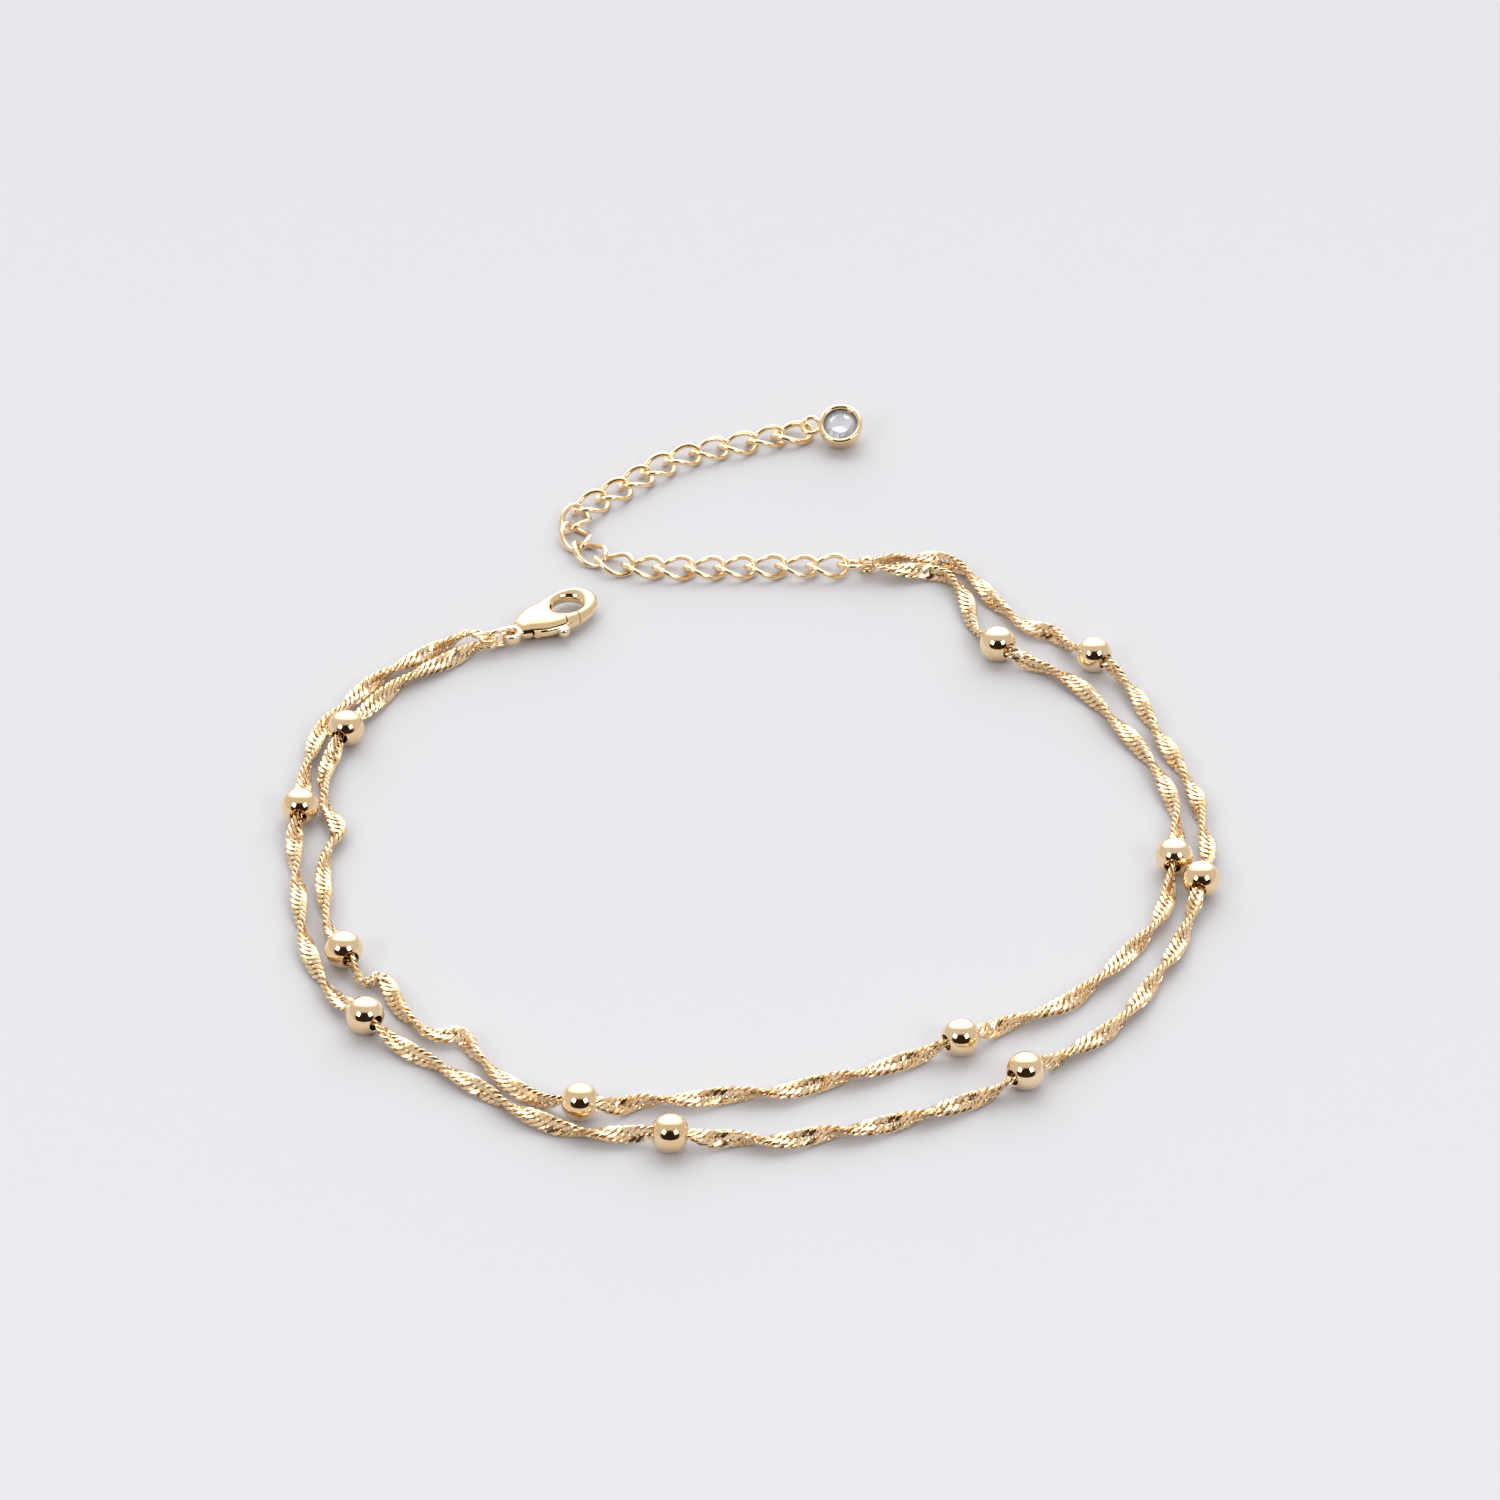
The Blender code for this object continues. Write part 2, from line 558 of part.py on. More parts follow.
def add_clasp(anklet):
    """The clasp's body with its tail loop, cheeks, pin and hook, and the lever between the cheeks."""
    half = CLASP_THICKNESS / 2
    slot = half - CHEEK_THICKNESS
    frame = clasp_to_anklet()
    body = prism(smooth_outline(CLASP_OUTLINE, 2), -half, half, CLASP_ROUNDING)
    tail_half = TAIL_LOOP_THICKNESS / 2
    tail = prism(disc((0, 0), TAIL_LOOP_DIAMETER), -tail_half, tail_half, TAIL_LOOP_ROUNDING)
    body = combined(body, [tail], "UNION")
    cuts = [
        prism(disc((0, 0), TAIL_LOOP_HOLE, 12), -half, half),
        prism(smooth_outline(CLASP_EYE, 2), -CLASP_THICKNESS, CLASP_THICKNESS),
        prism(sector(CHEEK_REACH, LEVER_REACH + LEVER_GAP, *CHEEK_WINDOW), -CLASP_THICKNESS, CLASP_THICKNESS),
        prism(sector(0, CHEEK_REACH + LEVER_GAP, *SLOT_ANGLES), -slot, slot),
        prism(disc(PIVOT, LEVER_BOSS + 2 * LEVER_GAP), -slot, slot),
    ]
    body = combined(body, cuts, "DIFFERENCE")
    pin = prism(disc(PIVOT, PIN_DIAMETER, 12), -half + CHEEK_THICKNESS / 2, half - CHEEK_THICKNESS / 2)
    body = combined(body, [pin], "UNION")
    add_object("clasp_body", body, anklet, gold(), frame)

    pivot = Matrix.Translation((*PIVOT, 0))
    tongue_half = LEVER_TONGUE / 2
    head_half = LEVER_HEAD_HEIGHT / 2
    tongue = prism(LEVER_ARM, -tongue_half, tongue_half)
    boss = prism(disc(PIVOT, LEVER_BOSS, 14), -tongue_half, tongue_half)
    knob = prism(disc(KNOB_CENTRE, KNOB_DIAMETER, 14), -tongue_half, tongue_half, KNOB_ROUNDING)
    head_plan = []
    for radius, edges in ((CHEEK_REACH + LEVER_GAP, LEVER_HEAD_EDGES[::-1]), (LEVER_REACH, LEVER_HEAD_EDGES)):
        start, end = (math.asin((edge - PIVOT[1]) / radius) for edge in edges)
        for k in range(5):
            turn = start + (end - start) * k / 4
            head_plan.append((PIVOT[0] + radius * math.cos(turn), PIVOT[1] + radius * math.sin(turn)))
    head = prism(head_plan, -head_half, head_half, HEAD_ROUNDING)
    lever = combined(tongue, [boss, knob, head], "UNION")
    bore = prism(disc(PIVOT, PIN_DIAMETER + 2 * LEVER_GAP, 12), -half, half)
    lever = combined(lever, [bore], "DIFFERENCE")
    lever.transform(pivot.inverted())
    add_object("clasp_lever", lever, anklet, gold(), frame @ pivot)


def add_clasp_ring(anklet):
    """The jump ring, standing on edge through the tail loop. Returns the middle of its far end wire."""
    heading = math.radians(CLASP_RING_HEADING)
    away = Vector((-math.cos(heading), -math.sin(heading), 0))
    half_length = (CLASP_RING_LENGTH - CLASP_RING_WIRE) / 2
    centre = Vector((*CLASP_TAIL, CLASP_THICKNESS / 2)) + away * (half_length - CLASP_RING_SEAT)
    ring = oval_mesh(CLASP_RING_LENGTH, CLASP_RING_HEIGHT, CLASP_RING_WIRE, squareness=CLASP_RING_SQUARENESS)
    turn = facing(math.degrees(heading), roll=90)
    add_object("clasp_ring", ring, anklet, gold(), Matrix.Translation(centre) @ turn)
    return centre + away * half_length, away


def clasp_end_loops(wire_end, away):
    """The two flat loops stacked on the jump ring's far wire: centre, turn and exit for each strand."""
    lift = (END_LOOP_WIRE + GAP) / 2
    centre = wire_end + away * END_LOOP_SLACK
    base = math.degrees(math.atan2(away.y, away.x))
    loops = []
    for side, rise in ((STRAND_SPREAD, -lift), (-STRAND_SPREAD, lift)):
        turn = math.radians(base + side)
        exit_direction = Vector((math.cos(turn), math.sin(turn), 0))
        loops.append((centre + Vector((0, 0, rise)), Matrix.Rotation(turn, 4, "Z"), exit_direction))
    return loops


def ring_end_loops():
    """The two upright loops side by side on the end ring: centre, turn and exit for each strand."""
    height = end_ring_height()
    reach = (END_RING_DIAMETER - END_RING_WIRE) / 2
    loops = []
    for side in (-1, 1):
        sideways = side * END_LOOP_SPACING / 2
        inward = reach - math.sqrt(reach**2 - sideways**2)
        roll = math.radians(END_RING_ROLL)
        centre = Vector((
            END_RING_CENTRE[0] + reach - inward + END_LOOP_SLACK,
            END_RING_CENTRE[1] + sideways * math.cos(roll),
            height + sideways * math.sin(roll),
        ))
        loops.append((centre, Matrix.Rotation(math.radians(90), 4, "X"), Vector((1, 0, 0))))
    return loops


def end_ring_height():
    """The end ring is held just off the surface by the loops on it."""
    return (END_LOOP_DIAMETER + END_LOOP_WIRE) / 2 + END_LOOP_SPACING / 2 * abs(
        math.sin(math.radians(END_RING_ROLL))
    )


def add_extender(anklet):
    """The end ring, the extender's links and the drop's link. Returns the middle of that link's far wire."""
    ring = oval_mesh(END_RING_DIAMETER, END_RING_DIAMETER, END_RING_WIRE)
    centre = Vector((*END_RING_CENTRE, end_ring_height()))
    add_object("end_ring", ring, anklet, gold(), Matrix.Translation(centre) @ facing(0, roll=END_RING_ROLL))

    link = oval_mesh(LINK_LENGTH, LINK_WIDTH, LINK_WIRE, LINK_TWIST)
    pitch = LINK_LENGTH - 2 * LINK_WIRE - LINK_PLAY
    course, arc, _ = smooth_course([Vector((x, y, 0)) for x, y in EXTENDER_ROUTE])
    joint = course[0]
    travelled = 0.0
    for number in range(1, LINK_COUNT + 1):
        after = at_arc(course, arc, travelled + pitch)
        along = after - joint
        heading = math.degrees(math.atan2(along.y, along.x)) + 180
        turn = facing(heading, roll=LINK_SWAY * math.sin(SWAY_STEP * number))
        middle = joint + along.normalized() * pitch / 2
        middle.z = lowest(link, turn) + FIRST_LINK_LIFT * LIFT_DECAY**number
        add_object(f"link_{number:02d}", link.copy(), anklet, gold(), Matrix.Translation(middle) @ turn)
        joint = joint + along.normalized() * pitch
        travelled += pitch

    big = oval_mesh(DROP_LINK_LENGTH, DROP_LINK_WIDTH, DROP_LINK_WIRE, DROP_LINK_TWIST)
    along = at_arc(course, arc, travelled + pitch) - joint
    heading = math.degrees(math.atan2(along.y, along.x))
    turn = facing(heading + 180)
    reach = DROP_LINK_LENGTH / 2 - DROP_LINK_WIRE - LINK_PLAY * 0.75
    middle = joint + along.normalized() * reach
    middle.z = lowest(big, turn)
    add_object("drop_link", big, anklet, gold(), Matrix.Translation(middle) @ turn)
    reach = (DROP_LINK_LENGTH - DROP_LINK_WIRE) / 2
    return middle + along.normalized() * reach


def bezel_mesh():
    """The bezel cup with a lip turned in over the stone, its back at Z = 0."""
    outer, back = BEZEL_DIAMETER / 2, BEZEL_BACK_DIAMETER / 2
    inside = outer - BEZEL_WALL
    lip_height = BEZEL_HEIGHT - BEZEL_ROUNDING
    profile = [
        (0.0, 0.0), (back, 0.0), (outer, BEZEL_FLARE_HEIGHT), (outer, lip_height),
        (outer - BEZEL_ROUNDING, BEZEL_HEIGHT), (inside - BEZEL_LIP, lip_height),
        (inside, lip_height - BEZEL_LIP), (inside, BEZEL_FLARE_HEIGHT),
        (back - BEZEL_WALL, BEZEL_FLOOR), (0.0, BEZEL_FLOOR),
    ]
    work = bmesh.new()
    rows = []
    for radius, z in profile:
        ring = disc((0, 0), 2 * radius, BEZEL_SIDES) if radius else [(0, 0)]
        rows.append([work.verts.new((x, y, z)) for x, y in ring])
    for low, high in zip(rows, rows[1:]):
        for k in range(BEZEL_SIDES):
            after = (k + 1) % BEZEL_SIDES
            if len(low) == 1:
                work.faces.new((low[0], high[after], high[k]))
            elif len(high) == 1:
                work.faces.new((low[k], low[after], high[0]))
            else:
                work.faces.new((low[k], low[after], high[after], high[k]))
    flat_back = [face for face in work.faces if all(abs(v.co.z) < 1e-6 for v in face.verts)]
    bmesh.ops.dissolve_faces(work, faces=flat_back)
    return mesh_from(work)


def stone_mesh():
    """A round brilliant: a table, crown and pavilion facets, its girdle's foot at Z = 0."""
    radius = BEZEL_DIAMETER / 2 - BEZEL_WALL - STONE_CLEARANCE
    work = bmesh.new()
    half_sides = STONE_SIDES // 2

    def ring(share, z, sides):
        return [work.verts.new((x, y, z)) for x, y in disc((0, 0), 2 * radius * share, sides)]

    table = ring(STONE_TABLE_SHARE, STONE_GIRDLE + STONE_CROWN, half_sides)
    top, foot = ring(1.0, STONE_GIRDLE, STONE_SIDES), ring(1.0, 0.0, STONE_SIDES)
    culet = work.verts.new((0, 0, -STONE_PAVILION))
    work.faces.new(table)
    for k in range(STONE_SIDES):
        after = (k + 1) % STONE_SIDES
        work.faces.new((foot[k], foot[after], top[after], top[k]))
        work.faces.new((culet, foot[after], foot[k]))
    for k in range(half_sides):
        after = (k + 1) % half_sides
        left, middle, right = top[2 * k], top[2 * k + 1], top[(2 * k + 2) % STONE_SIDES]
        work.faces.new((table[k], left, middle))
        work.faces.new((table[k], middle, table[after]))
        work.faces.new((table[after], middle, right))
    return mesh_from(work)


def add_drop(hang, anklet):
    """The bezel with its flat loop, tipped up towards the viewer, and the stone in it."""
    half_bail = (BAIL_DIAMETER - BAIL_WIRE) / 2
    bail_out = BEZEL_DIAMETER / 2 + half_bail - BAIL_SEAT
    bail = placed(oval_mesh(BAIL_DIAMETER, BAIL_DIAMETER, BAIL_WIRE, segments=12),
                  Matrix.Translation((-bail_out, 0, BAIL_HEIGHT)))
    setting = combined(bezel_mesh(), [bail], "UNION")
    turn = facing(DROP_HEADING, roll=DROP_TILT)
    height = lowest(setting, turn)
    seat = turn @ Vector((-bail_out - half_bail + (DROP_LINK_WIRE + BAIL_WIRE) / 2 + GAP, 0, 0))
    middle = Vector((hang.x - seat.x, hang.y - seat.y, height))
    place = Matrix.Translation(middle) @ turn
    add_object("drop_setting", setting, anklet, gold(), place)
    clear = material("clear_stone", CLEAR, 0.02, 0.0, 0.9)
    seat_height = BEZEL_HEIGHT - BEZEL_ROUNDING - BEZEL_LIP - STONE_GIRDLE - STONE_CLEARANCE
    add_object("drop_stone", stone_mesh(), anklet, clear, place @ Matrix.Translation((0, 0, seat_height)))


def set_origin(anklet):
    """Moves the whole anklet so that the origin is the middle of its footprint, on the surface."""
    bpy.context.view_layer.update()
    corners = [
        thing.matrix_world @ vertex.co for thing in anklet.children for vertex in thing.data.vertices
    ]
    low = Vector((min(c.x for c in corners), min(c.y for c in corners), min(c.z for c in corners)))
    high = Vector((max(c.x for c in corners), max(c.y for c in corners), max(c.z for c in corners)))
    anklet.location = (-(low.x + high.x) / 2, -(low.y + high.y) / 2, -low.z)
    bpy.context.view_layer.update()


def main():
    for thing in list(bpy.data.objects):
        bpy.data.objects.remove(thing)
    anklet = bpy.data.objects.new("anklet", None)
    bpy.context.scene.collection.objects.link(anklet)
    add_clasp(anklet)
    wire_end, away = add_clasp_ring(anklet)
    clasp_loops = clasp_end_loops(wire_end, away)
    ring_loops = ring_end_loops()
    inner = add_strand("strand_inner", "bead_inner", INNER_ROUTE, (clasp_loops[0], ring_loops[0]),
                       INNER_TURN_START, INNER_HALF_TURN, anklet)
    outer = add_strand("strand_outer", "bead_outer", OUTER_ROUTE, (clasp_loops[1], ring_loops[1]),
                       OUTER_TURN_START, OUTER_HALF_TURN, anklet)
    add_drop(add_extender(anklet), anklet)
    set_origin(anklet)
    print(f"strands {inner:.1f} and {outer:.1f} mm; origin moved by {tuple(anklet.location)}")


main()
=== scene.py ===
"""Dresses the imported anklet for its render: fine twisted chains, smooth beads, clasp, extender and drop.

Lengths here are in millimetres, and each mesh is turned into metres when its piece is made. Places come from
the frame where it has them. The strands' and the extender's courses are the chosen points of the part's source,
moved with the frame.
"""

import math

import bmesh
import bpy
import numpy as np
from mathutils import Matrix, Vector


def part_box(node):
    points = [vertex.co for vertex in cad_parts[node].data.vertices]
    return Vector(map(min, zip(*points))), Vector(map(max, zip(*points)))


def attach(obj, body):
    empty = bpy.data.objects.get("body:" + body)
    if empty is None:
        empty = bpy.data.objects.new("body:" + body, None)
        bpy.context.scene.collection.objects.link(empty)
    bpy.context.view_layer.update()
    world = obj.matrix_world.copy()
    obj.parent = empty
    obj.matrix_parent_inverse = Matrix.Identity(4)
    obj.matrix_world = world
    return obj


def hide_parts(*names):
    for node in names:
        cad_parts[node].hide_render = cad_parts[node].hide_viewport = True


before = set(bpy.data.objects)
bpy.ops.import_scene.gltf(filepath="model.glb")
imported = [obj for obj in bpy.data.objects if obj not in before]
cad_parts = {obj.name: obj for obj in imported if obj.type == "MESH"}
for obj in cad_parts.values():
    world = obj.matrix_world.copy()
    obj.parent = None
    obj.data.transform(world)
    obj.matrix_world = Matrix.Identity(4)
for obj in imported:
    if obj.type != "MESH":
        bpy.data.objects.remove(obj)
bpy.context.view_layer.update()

METRES = 0.001
BODY = "anklet"

# Edges that bend by more than this many degrees stay crisp
SHARP_CHAIN, SHARP_CLASP, SHARP_ROUND = 30.0, 35.0, 40.0
# How hard each smoothing round pulls, and how far a corner may be drawn in beyond its inset
SMOOTHING_PULL = 0.5
CORNER_LIMIT = 0.5

# Beads
BEAD_DIAMETER = 3.5
BEAD_BORE = 1.45
BEAD_SIDES = 56
BEAD_ARCS = 30
MOUTH_ROUNDING = 0.12
MOUTH_STEP = (0.15, 0.35)

# Strand chains: closely set curb links, cut flat on both faces, that wind about the chain's length
STRAND_WIDTH = 1.7
STRAND_NECK = 1.3
BEAD_LEVEL = 1.05
BEAD_DESCENT = 2.9
NECK_LENGTH = 1.5
INNER_HALF_TURN = 8.9
INNER_TURN_START = 52.0
OUTER_HALF_TURN = 7.7
OUTER_TURN_START = 171.0
CURB_PITCH = 0.6
CURB_LENGTH = 2.15
CURB_WIRE = 0.36
CURB_TWIST = -62.0
CURB_CUT = 0.32
CURB_SEGMENTS = 24
CURB_SIDES = 8
CURB_ROLL_SPREAD = 5.0
END_LOOP_DIAMETER = 1.55
END_LOOP_WIRE = 0.38
END_LOOP_SLACK = 0.05
END_LOOP_SPACING = 0.75
END_LOOP_SEGMENTS = 32
END_LOOP_SIDES = 12
END_NECK = 1.1
END_TAPER = 2.6
STRAND_SPREAD = 50.0
INNER_SEED, OUTER_SEED = 11, 12
GAP = 0.25

# The two strands' courses in plan, as chosen for the part. A bead sits at each row marked "bead". kind, x, y
INNER_ROUTE = [
    ("chain", -26.9, 29.6), ("chain", -28.0, 28.7), ("chain", -29.4, 27.6), ("chain", -30.9, 26.6),
    ("chain", -32.4, 25.5), ("chain", -33.9, 24.0), ("chain", -35.3, 22.2), ("chain", -36.4, 20.6),
    ("chain", -37.4, 19.0), ("bead", -38.6, 16.0), ("chain", -39.7, 13.0), ("chain", -40.2, 11.0),
    ("chain", -40.3, 9.2), ("chain", -40.1, 7.0), ("chain", -39.8, 4.8), ("chain", -39.1, 3.3),
    ("chain", -38.6, 2.0), ("chain", -38.7, 0.8), ("chain", -39.2, -0.6), ("chain", -39.5, -2.5),
    ("chain", -39.6, -5.0), ("chain", -39.3, -7.5), ("chain", -39.0, -10.0), ("chain", -38.4, -12.8),
    ("bead", -37.0, -16.2), ("chain", -35.8, -18.4), ("chain", -35.1, -19.5), ("chain", -34.3, -19.4),
    ("chain", -33.6, -18.9), ("chain", -32.9, -20.0), ("chain", -32.3, -21.6), ("chain", -31.4, -23.5),
    ("chain", -30.2, -25.1), ("chain", -28.9, -26.4), ("chain", -27.5, -26.9), ("chain", -26.3, -26.8),
    ("chain", -25.4, -27.6), ("chain", -24.6, -29.1), ("chain", -23.3, -30.9), ("chain", -21.9, -32.8),
    ("chain", -20.2, -34.4), ("chain", -18.1, -35.7), ("bead", -15.0, -36.7), ("chain", -12.1, -36.5),
    ("chain", -10.0, -35.7), ("chain", -7.5, -35.4), ("chain", -5.0, -35.3), ("chain", -2.0, -34.8),
    ("chain", 1.0, -34.5), ("chain", 3.5, -34.2), ("chain", 6.0, -33.3), ("chain", 8.5, -32.4),
    ("chain", 11.0, -31.5), ("chain", 13.5, -30.4), ("chain", 16.0, -29.3), ("bead", 18.9, -28.2),
    ("chain", 21.8, -26.1), ("chain", 24.0, -24.9), ("chain", 26.5, -23.7), ("chain", 28.8, -22.3),
    ("chain", 30.8, -20.3), ("chain", 32.8, -17.9), ("chain", 34.7, -15.4), ("chain", 36.6, -12.8),
    ("chain", 37.9, -10.0), ("chain", 38.7, -7.2), ("bead", 39.4, -3.0), ("chain", 39.9, 0.6),
    ("chain", 40.1, 3.0), ("chain", 39.9, 5.5), ("chain", 39.4, 8.0), ("chain", 38.6, 10.8),
    ("chain", 37.5, 13.4), ("chain", 36.2, 16.0), ("chain", 34.8, 18.6), ("chain", 33.4, 21.1),
    ("chain", 31.8, 23.5), ("chain", 29.9, 25.6), ("chain", 27.2, 27.1), ("bead", 24.0, 29.0),
    ("chain", 22.4, 31.9), ("chain", 21.7, 34.2), ("chain", 21.4, 36.6), ("chain", 20.9, 39.0),
    ("chain", 19.6, 41.0), ("chain", 17.4, 41.9), ("chain", 15.2, 41.9), ("chain", 13.6, 42.0),
]
OUTER_ROUTE = [
    ("chain", -27.5, 31.3), ("chain", -29.2, 30.3), ("chain", -30.8, 29.2), ("chain", -32.3, 28.1),
    ("chain", -33.8, 27.0), ("chain", -35.4, 25.4), ("chain", -36.9, 23.6), ("chain", -38.2, 21.8),
    ("chain", -39.4, 19.9), ("chain", -40.6, 17.9), ("chain", -41.4, 15.6), ("chain", -41.8, 13.2),
    ("chain", -42.1, 10.6), ("chain", -42.3, 8.0), ("bead", -42.2, 4.3), ("chain", -42.6, 0.6),
    ("chain", -42.4, -2.0), ("chain", -42.0, -4.8), ("chain", -41.7, -7.6), ("chain", -41.4, -10.2),
    ("chain", -40.9, -12.8), ("chain", -40.5, -14.8), ("chain", -39.8, -17.0), ("chain", -38.8, -19.2),
    ("chain", -37.6, -21.5), ("bead", -34.6, -25.2), ("chain", -32.2, -27.4), ("chain", -30.2, -29.2),
    ("chain", -27.9, -30.8), ("chain", -25.6, -32.6), ("chain", -23.4, -34.4), ("chain", -21.4, -36.1),
    ("chain", -19.2, -37.6), ("chain", -17.0, -38.9), ("chain", -14.8, -39.6), ("chain", -12.6, -39.8),
    ("chain", -10.4, -40.0), ("bead", -7.0, -40.8), ("chain", -3.6, -40.5), ("chain", -1.0, -40.4),
    ("chain", 1.6, -40.7), ("chain", 4.0, -40.5), ("chain", 6.5, -39.8), ("chain", 9.0, -39.3),
    ("chain", 11.6, -38.7), ("chain", 14.2, -37.8), ("chain", 16.8, -36.7), ("chain", 19.4, -35.6),
    ("chain", 21.6, -34.5), ("bead", 24.5, -32.6), ("chain", 27.4, -30.1), ("chain", 29.4, -28.5),
    ("chain", 31.4, -27.0), ("chain", 33.2, -25.1), ("chain", 34.9, -22.5), ("chain", 36.4, -19.9),
    ("chain", 37.9, -17.2), ("chain", 39.2, -14.4), ("chain", 40.2, -11.8), ("chain", 40.8, -9.6),
    ("bead", 41.7, -6.3), ("chain", 42.6, -2.8), ("chain", 42.7, 0.0), ("chain", 42.5, 3.0),
    ("chain", 42.2, 6.0), ("chain", 41.6, 9.0), ("chain", 40.6, 12.0), ("chain", 39.6, 14.8),
    ("chain", 38.8, 17.4), ("chain", 37.9, 20.0), ("chain", 37.2, 22.4), ("chain", 36.1, 24.7),
    ("bead", 33.4, 27.4), ("chain", 30.9, 30.2), ("chain", 29.4, 32.0), ("chain", 27.8, 32.7),
    ("chain", 26.4, 33.9), ("chain", 25.0, 35.8), ("chain", 23.7, 37.7), ("chain", 22.7, 39.9),
    ("chain", 21.3, 42.1), ("chain", 19.3, 43.7), ("chain", 17.0, 44.1), ("chain", 14.9, 43.9),
    ("chain", 13.4, 43.6),
]

# Extender links
LINK_WIRE = 0.55
LINK_LENGTH = 4.55
LINK_PLAY = 0.4
DROP_PLAY = 0.75 * LINK_PLAY
LINK_WIDTH = 3.3
LINK_TWIST = 42.0
LINK_COUNT = 19
LINK_SWAY = 3.0
SWAY_STEP = 2.4
RING_SEGMENTS = 72
WIRE_SIDES = 16
# The extender's course in plan, as chosen for the part. x, y
EXTENDER_ROUTE = [
    (9.2, 42.7), (4.9, 42.7), (1.7, 42.8), (-1.4, 42.7), (-4.5, 42.6), (-7.5, 42.6), (-10.4, 42.7),
    (-13.1, 43.2), (-15.3, 44.4), (-16.9, 46.3), (-17.8, 48.6), (-17.7, 51.0), (-16.6, 53.0),
    (-14.7, 54.4), (-12.6, 56.4), (-10.0, 59.0), (-7.3, 61.2), (-4.5, 62.6), (-1.8, 63.4), (1.0, 64.3),
    (4.0, 65.6), (7.0, 66.0),
]

# Rings
CLASP_RING_WIRE = 0.48
CLASP_RING_LENGTH = 2.9
CLASP_RING_HEIGHT = 2.3
CLASP_RING_SQUARENESS = 2.8
CLASP_RING_HEADING = 21.0
END_RING_WIRE = 0.5
END_RING_DIAMETER = 3.3
END_RING_CENTRE = (10.2, 42.7)
END_RING_ROLL = -27.0

# Lobster clasp, in its own plan: u from the tail loop to the tip, n to the left of that
CLASP_TAIL = (-23.3, 31.2)
CLASP_HEADING = 37.0
CLASP_THICKNESS = 2.4
CLASP_OUTLINE = [
    (0.7, 0.8), (1.6, 1.7), (3.1, 2.35), (4.6, 2.4), (6.0, 2.55), (7.8, 2.65), (9.3, 2.1), (10.1, 1.05),
    (10.15, -0.1), (9.5, -1.2), (8.3, -2.05), (6.9, -2.45), (5.4, -2.5), (4.1, -2.35), (2.8, -2.0),
    (1.6, -1.3), (0.7, -0.7),
]
CLASP_EYE = [
    (5.35, 0.35), (5.75, 1.1), (6.65, 1.5), (7.6, 1.35), (8.2, 0.75), (8.3, -0.05), (7.8, -0.75), (6.9, -0.95),
    (5.9, -0.55),
]
OUTLINE_STEPS = 6
CLASP_DOME = 2.5
CLASP_GRID = 0.07
CLASP_VOXEL = 0.08
CAST_SMOOTHING = 2
CLASP_SMOOTHING = 10
CLASP_CLEARANCE = 0.1
TAIL_LOOP_DIAMETER = 2.2
TAIL_LOOP_HOLE = 1.15
TAIL_LOOP_THICKNESS = 1.0
TAIL_LOOP_ROUNDING = 0.25
# Reaches are distances from the lever's pivot, and angles are in degrees about it
PIVOT = (2.5, -0.9)
PIN_DIAMETER = 0.6
CHEEK_REACH = 2.9
CHEEK_WINDOW = (-80.0, 25.0)
SLOT_ANGLES = (-125.0, 34.0)
LEVER_REACH = 4.3
LEVER_GAP = 0.2
LEVER_TONGUE = 0.9
LEVER_BOSS = 1.5
PIN_SEAT = 0.15
ARM_ANGLES = (-119.0, -8.0)
HEAD_ANGLES = (-60.0, 1.5)
NOSE_ANGLES = (-10.0, 12.0)
NOSE_SLOT = (20.0, 36.5)
NOSE_REACH = 3.65
KNOB_CENTRE = (4.45, -2.55)
KNOB_DIAMETER = 1.25
KNOB_ROUNDING = 0.35
LEVER_VOXEL = 0.05
LEVER_SMOOTHING = 6

# Drop
DROP_LINK_WIRE = 0.7
DROP_LINK_LENGTH = 4.7
DROP_LINK_WIDTH = 3.5
DROP_LINK_TWIST = 32.0
BAIL_WIRE = 0.5
BAIL_DIAMETER = 2.3
BAIL_HEIGHT = 0.95
BAIL_SEAT = 0.05
BEZEL_DIAMETER = 4.5
BEZEL_BACK_DIAMETER = 4.0
BEZEL_HEIGHT = 2.1
BEZEL_WALL = 0.28
BEZEL_FLOOR = 0.35
BEZEL_LIP = 0.25
BEZEL_FLARE_HEIGHT = 0.95
BEZEL_ROUNDING = 0.15
BEZEL_SIDES = 72
BEZEL_FLAT_SHARE = 0.35
BEZEL_FOOT = [(-0.12, 0.0), (0.0, 0.04), (0.05, 0.15)]
BEZEL_RIM_STEPS = 10
BEZEL_RIM_DROP = 0.1
DROP_TILT = 27.0
DROP_HEADING = -8.0
STONE_CROWN = 0.3
STONE_GIRDLE = 0.12
STONE_PAVILION = 0.27
STONE_TABLE_SHARE = 0.58
STONE_KITE_SHARE = 0.79
STONE_KITE_RISE = 0.47
STONE_BACK_SHARE = 0.42
STONE_BACK_DEPTH = 0.62
STONE_CLEARANCE = 0.18

# Gold: its two tones, where the drifting noise blends them, its fine grain, and the clear lacquer over the
# plating, which whitens the brightest reflections
GOLD = (0.96, 0.74, 0.46, 1.0)
GOLD_DEEP = (0.93, 0.64, 0.31, 1.0)
TONE_STOPS = (0.35, 0.62)
GLOSS_RANGE = (0.3, 0.7)
DRIFT_DETAIL = 3.0
GRAIN_DETAIL = 2.0
GRAIN_RATIO = 9
GRAIN_DEPTH = 0.00002
LACQUER = {"Coat Weight": 0.8, "Coat Roughness": 0.03, "Coat IOR": 1.9}
